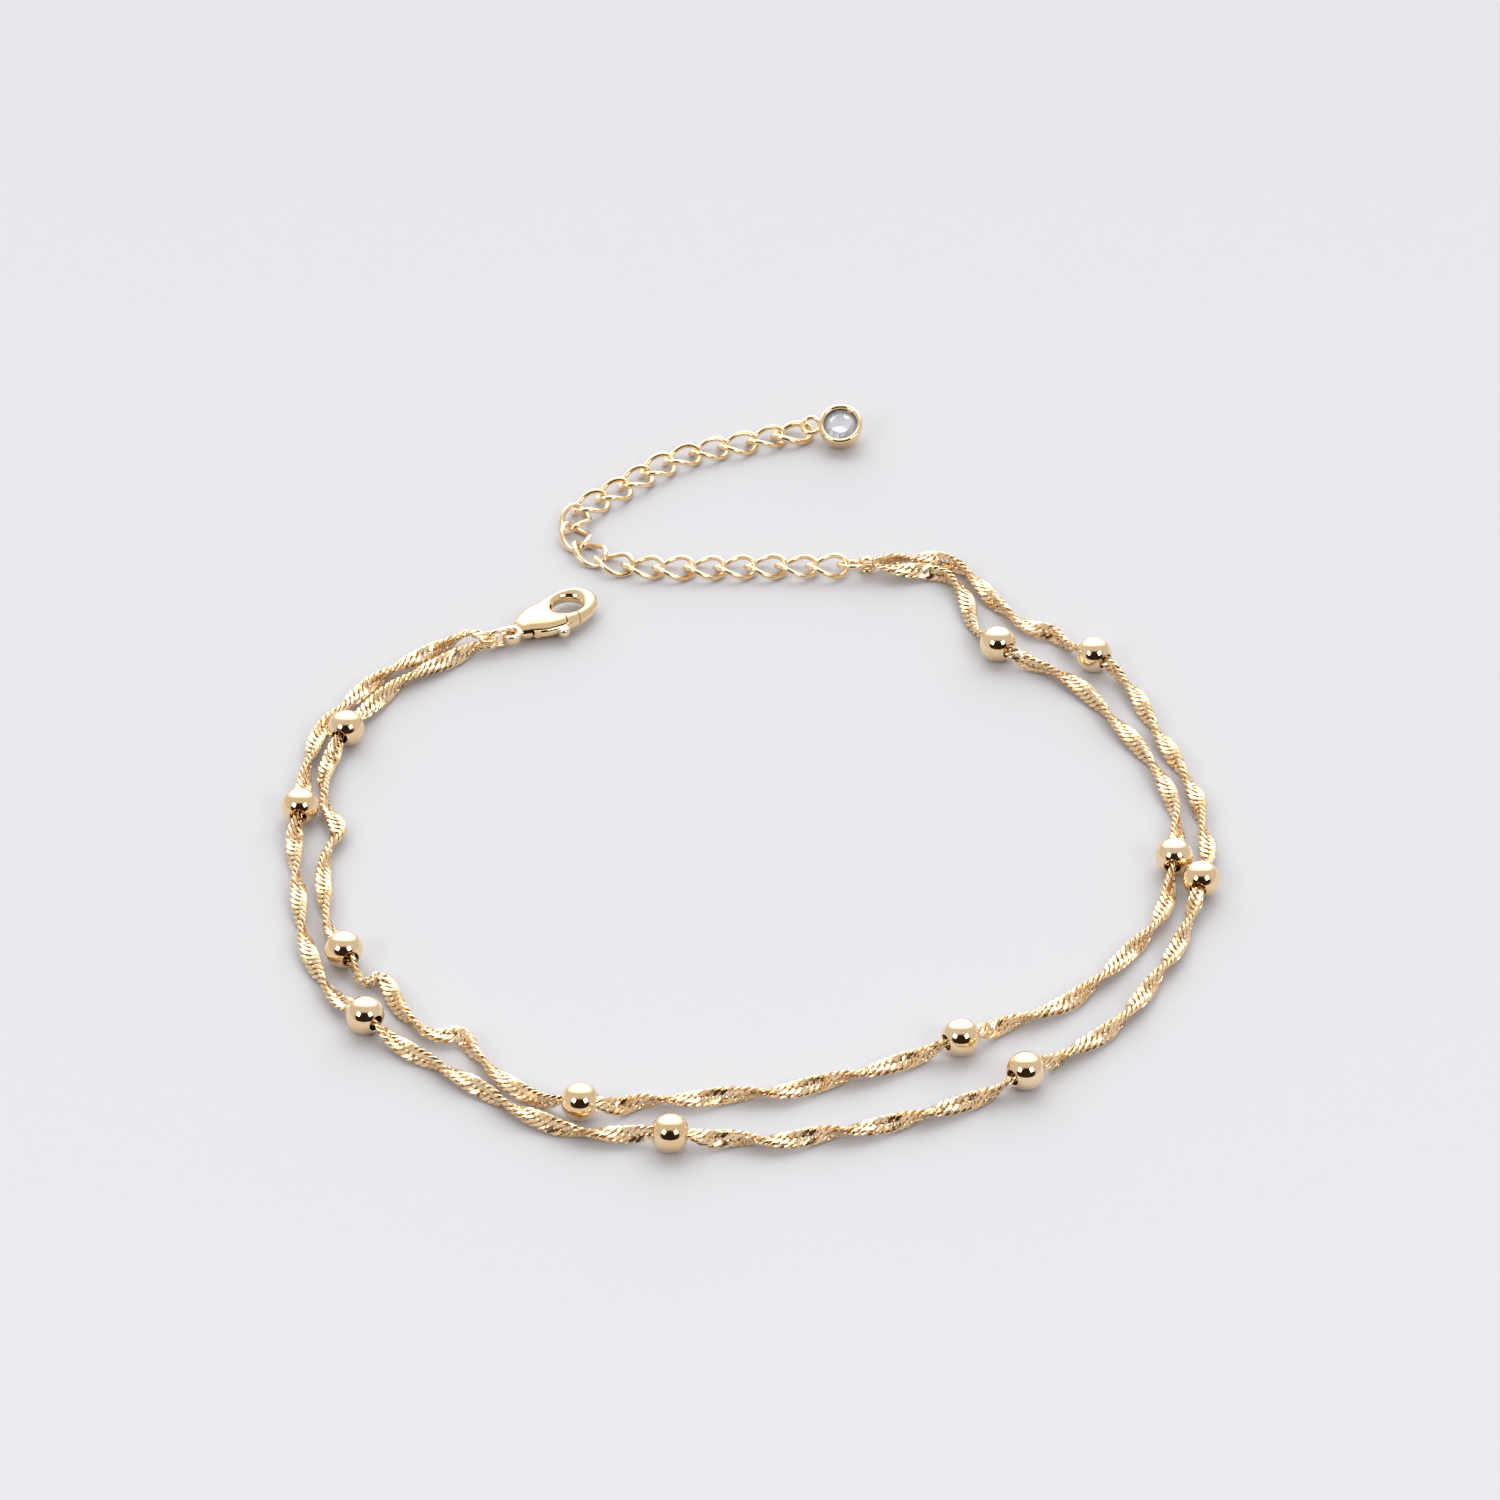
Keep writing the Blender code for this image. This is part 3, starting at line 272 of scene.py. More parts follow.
# Each finish: range of roughness, scale of the drift, strength of the grain
POLISHED_FINISH = ((0.05, 0.09), 260.0, 0.04)
CHAIN_FINISH = ((0.14, 0.24), 900.0, 0.10)
WIRE_FINISH = ((0.12, 0.20), 420.0, 0.08)

# The stone's crystal, and the foil on the facets that face up by less than this share
CRYSTAL = (0.94, 0.94, 1.0, 1.0)
CRYSTAL_CLARITY = 0.55
CRYSTAL_IOR = 1.75
FOIL = (0.97, 0.97, 1.0, 1.0)
FOIL_ROUGHNESS = 0.1
FOIL_GLOSS = (0.05, 0.18)
FOIL_NOISE = 700.0
FOIL_BELOW = 0.1

# The view, fitted to the photograph: camera place before the part's origin was set, and its angles
CAMERA_PLACE = (0.0, -398.0, 334.3)
CAMERA_ELEVATION = 39.0
FOCAL_PIXELS = 5557.0
FRAME_PIXELS = 1500.0
SENSOR = 36.0
CLIP = (0.01, 20.0)

# The ground, half its width in metres, and the lamps: name, place in metres, size and watts
FLOOR_COLOUR = (0.625, 0.622, 0.65, 1.0)
FLOOR_ROUGHNESS = 0.75
FLOOR_REACH = 2
LAMPS = [("left_lamp", (-0.70, -0.68, 0.73), 0.46, 2.8), ("right_lamp", (0.65, -0.68, 0.73), 0.46, 2.8)]

# The studio: a bright window behind, pale walls, and a dark place in front where the camera stands
STUDIO_STRENGTH = 2.4
STUDIO_WALL = (0.28, 0.275, 0.27, 1.0)
STUDIO_DARK = (0.012, 0.008, 0.006, 1.0)
STUDIO_WINDOW = (1.0, 1.0, 1.0, 1.0)
WINDOW_TOWARDS = (0.0, 0.766, 0.643)
WINDOW_EDGE = (0.60, 0.88)
DARK_TOWARDS = (0.0, -0.913, 0.407)
DARK_STRETCH = (0.55, 1.0, 1.2)
DARK_EDGE = (0.55, 0.75)


def middle(node):
    low, high = (Vector(corner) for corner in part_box(node))
    return (low + high) / 2 / METRES


# How far the part's own origin moved its chosen plan points
SHIFT = middle("end_ring").xy - Vector(END_RING_CENTRE)


def moved(x, y):
    return Vector((x + SHIFT.x, y + SHIFT.y, 0))


# Materials


def node_material(name, colour, roughness, metallic=0.0):
    made = bpy.data.materials.new(name)
    made.use_nodes = True
    shader = made.node_tree.nodes["Principled BSDF"]
    shader.inputs["Base Color"].default_value = colour
    shader.inputs["Roughness"].default_value = roughness
    shader.inputs["Metallic"].default_value = metallic
    return made, made.node_tree, shader


def gold_material(name, roughness, wave, bump):
    """Pale gold plating: its tone and gloss drift a little over the surface, with a faint polish texture."""
    made, tree, shader = node_material(name, GOLD, roughness[0], 1.0)
    nodes, links = tree.nodes, tree.links
    coordinates = nodes.new("ShaderNodeTexCoord")
    drift = nodes.new("ShaderNodeTexNoise")
    drift.inputs["Scale"].default_value = wave
    drift.inputs["Detail"].default_value = DRIFT_DETAIL
    links.new(coordinates.outputs["Object"], drift.inputs["Vector"])
    tone = nodes.new("ShaderNodeValToRGB")
    tone.color_ramp.elements[0].position = TONE_STOPS[0]
    tone.color_ramp.elements[0].color = GOLD_DEEP
    tone.color_ramp.elements[1].position = TONE_STOPS[1]
    tone.color_ramp.elements[1].color = GOLD
    links.new(drift.outputs["Fac"], tone.inputs["Fac"])
    links.new(tone.outputs["Color"], shader.inputs["Base Color"])
    gloss = nodes.new("ShaderNodeMapRange")
    gloss.inputs["From Min"].default_value, gloss.inputs["From Max"].default_value = GLOSS_RANGE
    gloss.inputs["To Min"].default_value, gloss.inputs["To Max"].default_value = roughness
    links.new(drift.outputs["Fac"], gloss.inputs["Value"])
    links.new(gloss.outputs["Result"], shader.inputs["Roughness"])
    grain = nodes.new("ShaderNodeTexNoise")
    grain.inputs["Scale"].default_value = wave * GRAIN_RATIO
    grain.inputs["Detail"].default_value = GRAIN_DETAIL
    links.new(coordinates.outputs["Object"], grain.inputs["Vector"])
    relief = nodes.new("ShaderNodeBump")
    relief.inputs["Strength"].default_value = bump
    relief.inputs["Distance"].default_value = GRAIN_DEPTH
    links.new(grain.outputs["Fac"], relief.inputs["Height"])
    links.new(relief.outputs["Normal"], shader.inputs["Normal"])
    for socket, value in LACQUER.items():
        shader.inputs[socket].default_value = value
    return made


polished = gold_material("polished_gold", *POLISHED_FINISH)
chain_gold = gold_material("chain_gold", *CHAIN_FINISH)
wire_gold = gold_material("wire_gold", *WIRE_FINISH)


def stone_materials():
    """Clear crystal for the stone's face, and the silvery foil on its girdle and back facets."""
    clear, _, shader = node_material("clear_stone", CRYSTAL, 0.0)
    shader.inputs["Transmission Weight"].default_value = CRYSTAL_CLARITY
    shader.inputs["IOR"].default_value = CRYSTAL_IOR
    foil, tree, shader = node_material("stone_foil", FOIL, FOIL_ROUGHNESS, 1.0)
    drift = tree.nodes.new("ShaderNodeTexNoise")
    drift.inputs["Scale"].default_value = FOIL_NOISE
    gloss = tree.nodes.new("ShaderNodeMapRange")
    gloss.inputs["To Min"].default_value, gloss.inputs["To Max"].default_value = FOIL_GLOSS
    tree.links.new(drift.outputs["Fac"], gloss.inputs["Value"])
    tree.links.new(gloss.outputs["Result"], shader.inputs["Roughness"])
    return clear, foil


# Mesh helpers, in millimetres


def grid_faces(rows, sides, closed=True):
    """Quads that join rows of points, each a closed ring."""
    faces = []
    for row in range(rows if closed else rows - 1):
        for side in range(sides):
            after, there = (side + 1) % sides, (row + 1) % rows
            faces.append((row * sides + side, row * sides + after, there * sides + after, there * sides + side))
    return faces


def mesh_of(vertices, faces):
    mesh = bpy.data.meshes.new("piece")
    mesh.from_pydata([tuple(v) for v in vertices], [], faces)
    work = bmesh.new()
    work.from_mesh(mesh)
    bmesh.ops.recalc_face_normals(work, faces=work.faces)
    work.to_mesh(mesh)
    work.free()
    return mesh


def add_piece(name, mesh, finish, node, body=BODY, place=None, sharp=None):
    """Turns a mesh in millimetres into a piece in metres that stands for a node and rides its body."""
    if place is not None:
        mesh.transform(place)
    mesh.transform(Matrix.Scale(METRES, 4))
    mesh.name = name
    mesh.materials.clear()
    mesh.materials.append(finish)
    mesh.shade_smooth()
    if sharp:
        mesh.set_sharp_from_angle(angle=math.radians(sharp))
    piece = bpy.data.objects.new(name, mesh)
    bpy.context.scene.collection.objects.link(piece)
    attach(piece, body)
    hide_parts(node)
    return piece


def evaluated(mesh, *steps):
    """Returns a mesh after modifiers, each a kind and its settings."""
    thing = bpy.data.objects.new("work", mesh)
    bpy.context.scene.collection.objects.link(thing)
    for kind, settings in steps:
        step = thing.modifiers.new("step", kind)
        for key, value in settings.items():
            setattr(step, key, value)
    graph = bpy.context.evaluated_depsgraph_get()
    result = bpy.data.meshes.new_from_object(thing.evaluated_get(graph))
    bpy.data.objects.remove(thing)
    return result


def combined(base, others, operation):
    """One mesh: the base united with, or cut by, the others."""
    tools = []
    for mesh in others:
        tool = bpy.data.objects.new("tool", mesh)
        bpy.context.scene.collection.objects.link(tool)
        tools.append(tool)
    result = evaluated(base, *[("BOOLEAN", {"operation": operation, "object": tool}) for tool in tools])
    for tool in tools:
        bpy.data.objects.remove(tool)
    return result


def wire_ring(
    length, width, wire, twist=0.0, squareness=2.0, segments=RING_SEGMENTS, sides=WIRE_SIDES, cut=None
):
    """A ring of round wire, long in X. Its ends are twisted apart about X, and a cut makes both faces flat."""
    half_length, half_width = (length - wire) / 2, (width - wire) / 2
    points = np.zeros((segments, sides, 3))
    for step in range(segments):
        angle = math.tau * step / segments
        cosine, sine = math.cos(angle), math.sin(angle)
        x = half_length * math.copysign(abs(cosine) ** (2 / squareness), cosine)
        y = half_width * math.copysign(abs(sine) ** (2 / squareness), sine)
        outward = Vector((x / half_length**2, y / half_width**2, 0)).normalized()
        turn = Matrix.Rotation(math.radians(twist) * x / half_length, 3, "X")
        for side in range(sides):
            around = math.tau * (side + 0.5) / sides
            offset = outward * math.cos(around) + Vector((0, 0, math.sin(around)))
            points[step, side] = turn @ (Vector((x, y, 0)) + offset * wire / 2)
    points = points.reshape(-1, 3)
    if cut:
        points[:, 2] = np.clip(points[:, 2], -cut, cut)
    return points, grid_faces(segments, sides)


def facing(heading, roll=0.0):
    return Matrix.Rotation(math.radians(heading), 4, "Z") @ Matrix.Rotation(math.radians(roll), 4, "X")


def smooth_course(points, step=0.1):
    """A fine run of points along the smooth curve through the chosen ones, and where those are in it."""
    padded = [2 * points[0] - points[1], *points, 2 * points[-1] - points[-2]]
    course, at_chosen = [points[0].copy()], [0]
    for before, start, end, after in zip(padded, padded[1:], padded[2:], padded[3:]):
        knots = [0.0]
        for first, second in ((before, start), (start, end), (end, after)):
            knots.append(knots[-1] + math.sqrt((second - first).length))
        pieces = max(2, round((end - start).length / step))
        for piece in range(1, pieces + 1):
            time = knots[1] + (knots[2] - knots[1]) * piece / pieces
            row = [before, start, end, after]
            for low, high in (((0, 1, 2), (1, 2, 3)), ((0, 1), (2, 3)), ((1,), (2,))):
                row = [
                    row[k].lerp(row[k + 1], (time - knots[a]) / (knots[b] - knots[a]))
                    for k, (a, b) in enumerate(zip(low, high))
                ]
            course.append(row[0])
        at_chosen.append(len(course) - 1)
    return course, at_chosen


def eased(share):
    share = np.clip(share, 0.0, 1.0)
    return share * share * (3 - 2 * share)


def arc_along(points):
    return np.concatenate([[0.0], np.cumsum(np.linalg.norm(np.diff(points, axis=0), axis=1))])


# Beads and strands


def bead_points():
    """A polished drilled ball with its bore along X, its mouths a little rounded."""
    radius, bore = BEAD_DIAMETER / 2, BEAD_BORE / 2
    mouth = math.asin((bore + MOUTH_ROUNDING) / radius)
    profile = []
    for arc in range(BEAD_ARCS + 1):
        angle = mouth + (math.pi - 2 * mouth) * arc / BEAD_ARCS
        profile.append((radius * math.cos(angle), radius * math.sin(angle)))
    end = radius * math.cos(mouth)
    inward, outward = MOUTH_STEP
    inner = [(-end + MOUTH_ROUNDING * inward, bore + MOUTH_ROUNDING * outward), (-end + MOUTH_ROUNDING, bore)]
    profile += inner + [(-x, r) for x, r in reversed(inner)]
    points = []
    for side in range(BEAD_SIDES):
        around = math.tau * side / BEAD_SIDES
        points += [(x, r * math.cos(around), r * math.sin(around)) for x, r in profile]
    return points, grid_faces(BEAD_SIDES, len(profile))


def strand_course(route, loops):
    """The strand's centre line in space, the plan distance of each of its points, and the beads' distances."""
    starts = [centre + exit_direction * END_LOOP_DIAMETER / 2 for centre, _, exit_direction in loops]
    first, last = starts
    chosen = [Vector((first.x, first.y, 0)), *(moved(x, y) for _, x, y in route), Vector((last.x, last.y, 0))]
    course, at_chosen = smooth_course(chosen)
    points = np.array([tuple(point) for point in course])
    along = arc_along(points)
    length = along[-1]
    beads = [along[at_chosen[row + 1]] for row, (kind, _, _) in enumerate(route) if kind == "bead"]
    away = np.min(np.abs(along[:, None] - np.array(beads)[None, :]), axis=1)
    half_bead, rest = BEAD_DIAMETER / 2, STRAND_WIDTH / 2
    height = half_bead + (rest - half_bead) * eased((away - BEAD_LEVEL) / BEAD_DESCENT)
    from_end = np.minimum(along, length - along)
    end_height = np.where(along < length / 2, first.z, last.z)
    points[:, 2] = end_height + (height - end_height) * eased(from_end / (2 * END_TAPER))
    width = STRAND_NECK + (STRAND_WIDTH - STRAND_NECK) * eased((away - half_bead) / NECK_LENGTH)
    width = np.minimum(width, END_NECK + (STRAND_WIDTH - END_NECK) * eased(from_end / END_TAPER))
    return points, along, beads, width


def strand_points(route, loops, turn_start, half_turn, seed):
    """The strand's links, all in one mesh: each is a small cut curb link turned a little more than the last."""
    points, plan, beads, width = strand_course(route, loops)
    arc = arc_along(points)
    count = round(arc[-1] / CURB_PITCH)
    pitch = arc[-1] / count
    link, link_faces = wire_ring(
        CURB_LENGTH, STRAND_WIDTH, CURB_WIRE, CURB_TWIST, segments=CURB_SEGMENTS, sides=CURB_SIDES, cut=CURB_CUT
    )
    chance = np.random.default_rng(seed)

    def at(distance, values):
        return np.array([np.interp(distance, arc, values[:, k]) for k in range(values.shape[1])])

    vertices, faces = [], []
    table = np.column_stack([points, plan, width])
    for number in range(count):
        distance = (number + 0.5) * pitch
        x, y, z, plan_here, width_here = at(distance, table)
        ahead, behind = at(distance + pitch, points), at(distance - pitch, points)
        along = (ahead - behind) / np.linalg.norm(ahead - behind)
        side = np.cross((0.0, 0.0, 1.0), along)
        side /= np.linalg.norm(side)
        up = np.cross(along, side)
        # The link is wound with the chain, so its roll grows along its own length
        roll = np.radians(turn_start + 180 * (plan_here + link[:, :1]) / half_turn
                          + CURB_ROLL_SPREAD * chance.uniform(-1, 1))
        across = np.cos(roll) * side + np.sin(roll) * up
        normal = np.cos(roll) * up - np.sin(roll) * side
        shrink = width_here / STRAND_WIDTH
        placed = np.array((x, y, z)) + link[:, :1] * along + link[:, 1:2] * across * shrink
        vertices.append(placed + link[:, 2:] * normal * shrink)
        faces += [tuple(v + number * len(link) for v in face) for face in link_faces]
    return vertices, faces, beads, points, plan


def clasp_end_loops():
    """The two flat loops stacked on the clasp ring's far wire: centre, turn and exit for each strand."""
    heading = math.radians(CLASP_RING_HEADING)
    away = Vector((-math.cos(heading), -math.sin(heading), 0))
    centre = middle("clasp_ring") + away * ((CLASP_RING_LENGTH - CLASP_RING_WIRE) / 2 + END_LOOP_SLACK)
    lift = (END_LOOP_WIRE + GAP) / 2
    base = math.degrees(math.atan2(away.y, away.x))
    loops = []
    for side, rise in ((STRAND_SPREAD, -lift), (-STRAND_SPREAD, lift)):
        turn = math.radians(base + side)
        exit_direction = Vector((math.cos(turn), math.sin(turn), 0))
        loops.append((centre + Vector((0, 0, rise)), Matrix.Rotation(turn, 4, "Z"), exit_direction))
    return loops


def ring_end_loops():
    """The two upright loops side by side on the end ring: centre, turn and exit for each strand."""
    ring = middle("end_ring")
    reach = (END_RING_DIAMETER - END_RING_WIRE) / 2
    roll = math.radians(END_RING_ROLL)
    loops = []
    for side in (-1, 1):
        sideways = side * END_LOOP_SPACING / 2
        inward = reach - math.sqrt(reach**2 - sideways**2)
        offset = Vector((reach - inward + END_LOOP_SLACK, sideways * math.cos(roll), sideways * math.sin(roll)))
        loops.append((ring + offset, Matrix.Rotation(math.radians(90), 4, "X"), Vector((1, 0, 0))))
    return loops


def add_strand(name, bead_name, route, loops, turn_start, half_turn, seed):
    vertices, faces, beads, points, plan = strand_points(route, loops, turn_start, half_turn, seed)
    size = END_LOOP_DIAMETER + END_LOOP_WIRE
    loop, loop_faces = wire_ring(size, size, END_LOOP_WIRE, segments=END_LOOP_SEGMENTS, sides=END_LOOP_SIDES)
    total = sum(len(block) for block in vertices)
    for centre, turn, _ in loops:
        place = np.array(Matrix.Translation(centre) @ turn)
        vertices.append(loop @ place[:3, :3].T + place[:3, 3])
        faces += [tuple(v + total for v in face) for face in loop_faces]
        total += len(loop)
    add_piece(f"{name}_chain", mesh_of(np.vstack(vertices), faces), chain_gold, name, sharp=SHARP_CHAIN)
    ball, ball_faces = bead_points()
    for number, bead in enumerate(beads, 1):
        node = f"{bead_name}_{number}"
        back, front = (
            np.array([np.interp(bead + side * BEAD_DIAMETER / 2, plan, points[:, k]) for k in range(2)])
            for side in (-1, 1)
        )
        heading = math.degrees(math.atan2(front[1] - back[1], front[0] - back[0]))
        centre = middle(node)
        centre.z = BEAD_DIAMETER / 2
        add_piece(f"{node}_ball", mesh_of(ball, ball_faces), polished, node, sharp=SHARP_ROUND,
                  place=Matrix.Translation(centre) @ facing(heading))


# Clasp


def smooth_outline(points, per_span):
    """A closed curve through a few chosen plan points."""
    count = len(points)
    outline = []
    for index in range(count):
        before, start, end, after = (Vector(points[(index + k - 1) % count]) for k in range(4))
        for piece in range(per_span):
            t = piece / per_span
            outline.append(
                0.5 * (2 * start + (end - before) * t + (2 * before - 5 * start + 4 * end - after) * t**2
                       + (3 * start - before - 3 * end + after) * t**3)
            )
    return outline


def inset_outline(outline, inset):
    """A plan outline drawn in by an even amount, or out by a negative one."""
    count = len(outline)
    points = [Vector((point[0], point[1])) for point in outline]
    turning = sum(points[k - 1].cross(points[k]) for k in range(count))
    inward = 1 if turning > 0 else -1
    drawn = []
    for k, point in enumerate(points):
        before, after = (point - points[k - 1]).normalized(), (points[(k + 1) % count] - point).normalized()
        along = (before + after).normalized()
        spread = max(CORNER_LIMIT, along.dot(after))
        drawn.append(point + Vector((-along.y, along.x)) * inward * inset / spread)
    return drawn


def layered(outline, rows):
    """An upright solid of an outline, from rows of inset and height."""
    sides = len(outline)
    points = [(p.x, p.y, z) for inset, z in rows for p in inset_outline(outline, inset)]
    faces = grid_faces(len(rows), sides, closed=False)
    faces += [tuple(range(sides)), tuple(range((len(rows) - 1) * sides, len(rows) * sides))]
    return mesh_of(points, faces)


def prism(outline, low, high, rounding=0.0, steps=8):
    if not rounding:
        return layered(outline, [(0.0, low), (0.0, high)])
    turns = [math.pi / 2 * k / steps for k in range(steps + 1)]
    levels = [(rounding * (1 - math.sin(turn)), rounding * (1 - math.cos(turn))) for turn in turns]
    rows = [(inset, low + lift) for inset, lift in levels]
    rows += [(inset, high - lift) for inset, lift in reversed(levels)]
    return layered(outline, rows)


def disc(centre, diameter, sides=48):
    return [
        (centre[0] + diameter / 2 * math.cos(math.tau * k / sides),
         centre[1] + diameter / 2 * math.sin(math.tau * k / sides))
        for k in range(sides)
    ]


def sector(radius_low, radius_high, start, end, pieces=24):
    """A slice of a ring round the lever's pivot, between two angles. A zero inner radius makes it a fan."""
    turns = [math.radians(start + (end - start) * k / pieces) for k in range(pieces + 1)]
    outer = [(PIVOT[0] + radius_high * math.cos(t), PIVOT[1] + radius_high * math.sin(t)) for t in turns]
    if radius_low == 0:
        return [PIVOT, *outer]
    inner = [(PIVOT[0] + radius_low * math.cos(t), PIVOT[1] + radius_low * math.sin(t)) for t in turns]
    return inner + outer[::-1]


def softened(mesh, voxel, smoothing):
    """The mesh remade of even small faces with its edges worn round."""
    return evaluated(
        mesh,
        ("REMESH", {"mode": "VOXEL", "voxel_size": voxel}),
        ("SMOOTH", {"factor": SMOOTHING_PULL, "iterations": smoothing}),
    )


def edge_distance(points, outline):
    """How far inside a closed outline each plan point is. It is below zero outside."""
    start = np.array([tuple(p) for p in outline])
    end = np.roll(start, -1, axis=0)
    span = end - start
    offset = points[:, None] - start[None]
    share = np.clip((offset * span).sum(2) / (span**2).sum(1), 0, 1)
    distance = np.linalg.norm(offset - share[..., None] * span, axis=2).min(1)
    above = (start[:, 1] > points[:, None, 1]) != (end[:, 1] > points[:, None, 1])
    slope = span[:, 0] / np.where(span[:, 1] == 0, 1e-9, span[:, 1])
    crossing = above & (points[:, None, 0] < start[:, 0] + slope * (points[:, None, 1] - start[:, 1]))
    return np.where(crossing.sum(1) % 2 == 1, distance, -distance)


def domed_mesh(outline, hole, half, dome, grid):
    """A solid that swells from its outline and its hole to its full thickness, as a cast clasp does."""
    edge = np.array([tuple(p) for p in outline])
    us = np.arange(edge[:, 0].min() - grid, edge[:, 0].max() + grid, grid)
    ns = np.arange(edge[:, 1].min() - grid, edge[:, 1].max() + grid, grid)
    points = np.array([(u, n) for u in us for n in ns])
    inside = np.minimum(edge_distance(points, outline), -edge_distance(points, hole))
    height = half * np.sqrt(1 - (1 - np.clip(inside / dome, 0, 1)) ** 2)
    kept = (inside > 0).reshape(len(us), len(ns))
    full = kept[:-1, :-1] & kept[1:, :-1] & kept[:-1, 1:] & kept[1:, 1:]
    vertices, faces, index = [], [], {}

    def corner(i, j, side):
        if (i, j, side) not in index:
            index[i, j, side] = len(vertices)
            vertices.append((us[i], ns[j], side * height[i * len(ns) + j]))
        return index[i, j, side]

    for i, j in np.argwhere(full):
        ring = [(i, j), (i + 1, j), (i + 1, j + 1), (i, j + 1)]
        faces.append([corner(*c, 1) for c in ring])
        faces.append([corner(*c, -1) for c in reversed(ring)])
        beyond = [(i, j - 1), (i + 1, j), (i, j + 1), (i - 1, j)]
        for k, (a, b) in enumerate(beyond):
            if not full[a, b]:
                first, second = ring[k], ring[(k + 1) % 4]
                faces.append([corner(*first, 1), corner(*first, -1), corner(*second, -1), corner(*second, 1)])
    return mesh_of(vertices, faces)


def add_clasp():
    half, tongue_half = CLASP_THICKNESS / 2, LEVER_TONGUE / 2
    slot = tongue_half + CLASP_CLEARANCE
    place = Matrix.Translation((*moved(*CLASP_TAIL).xy, half)) @ facing(CLASP_HEADING)
    outline, eye = smooth_outline(CLASP_OUTLINE, OUTLINE_STEPS), smooth_outline(CLASP_EYE, OUTLINE_STEPS)
    body = domed_mesh(outline, eye, half, CLASP_DOME, CLASP_GRID)
    tail_half = TAIL_LOOP_THICKNESS / 2
    tail = prism(disc((0, 0), TAIL_LOOP_DIAMETER), -tail_half, tail_half, TAIL_LOOP_ROUNDING)
    body = softened(body, CLASP_VOXEL, CAST_SMOOTHING)
    body = combined(body, [tail], "UNION")
    body = combined(body, [prism(disc((0, 0), TAIL_LOOP_HOLE), -half, half)], "DIFFERENCE")
    body = softened(body, CLASP_VOXEL, CLASP_SMOOTHING)
    arm_reach = CHEEK_REACH + LEVER_GAP
    window = sector(CHEEK_REACH, LEVER_REACH + CLASP_CLEARANCE, *CHEEK_WINDOW)
    cuts = [
        prism(window, -CLASP_THICKNESS, CLASP_THICKNESS),
        prism(sector(0, arm_reach, *SLOT_ANGLES), -slot, slot),
        prism(disc(PIVOT, LEVER_BOSS + 2 * LEVER_GAP), -slot, slot),
        prism(sector(CHEEK_REACH, NOSE_REACH, *NOSE_SLOT), -slot, slot),
    ]
    shell = combined(body, cuts, "DIFFERENCE")
    pin = prism(disc(PIVOT, PIN_DIAMETER), -slot - PIN_SEAT, slot + PIN_SEAT)
    shell = combined(shell, [pin], "UNION")
    add_piece("clasp_shell", shell, polished, "clasp_body", place=place, sharp=SHARP_CLASP)

    arm = combined(body, [prism(sector(0, arm_reach, *ARM_ANGLES), -tongue_half, tongue_half)], "INTERSECT")
    head_plan = sector(CHEEK_REACH + CLASP_CLEARANCE, LEVER_REACH, *HEAD_ANGLES)
    head = combined(body, [prism(head_plan, -CLASP_THICKNESS, CLASP_THICKNESS)], "INTERSECT")
    # The thin nose at the head's end, which slides into the shell as the clasp opens
    nose_plan = sector(CHEEK_REACH + CLASP_CLEARANCE, NOSE_REACH - CLASP_CLEARANCE, *NOSE_ANGLES)
    nose = combined(body, [prism(nose_plan, -tongue_half, tongue_half)], "INTERSECT")
    boss = prism(disc(PIVOT, LEVER_BOSS), -tongue_half, tongue_half)
    knob = prism(disc(KNOB_CENTRE, KNOB_DIAMETER), -tongue_half, tongue_half, KNOB_ROUNDING)
    lever = softened(combined(arm, [boss, knob, head, nose], "UNION"), LEVER_VOXEL, LEVER_SMOOTHING)
    lever = combined(lever, [prism(disc(PIVOT, PIN_DIAMETER + 2 * LEVER_GAP), -half, half)], "DIFFERENCE")
    add_piece("clasp_trigger", lever, polished, "clasp_lever", body="clasp_lever",
              place=place, sharp=SHARP_CLASP)


# Extender and rings


def add_rings():
    ring = mesh_of(*wire_ring(CLASP_RING_LENGTH, CLASP_RING_HEIGHT, CLASP_RING_WIRE,
                              squareness=CLASP_RING_SQUARENESS))
    add_piece("clasp_jump_ring", ring, wire_gold, "clasp_ring",
              place=Matrix.Translation(middle("clasp_ring")) @ facing(CLASP_RING_HEADING, roll=90))
    ring = mesh_of(*wire_ring(END_RING_DIAMETER, END_RING_DIAMETER, END_RING_WIRE))
    add_piece("end_jump_ring", ring, wire_gold, "end_ring",
              place=Matrix.Translation(middle("end_ring")) @ facing(0, roll=END_RING_ROLL))


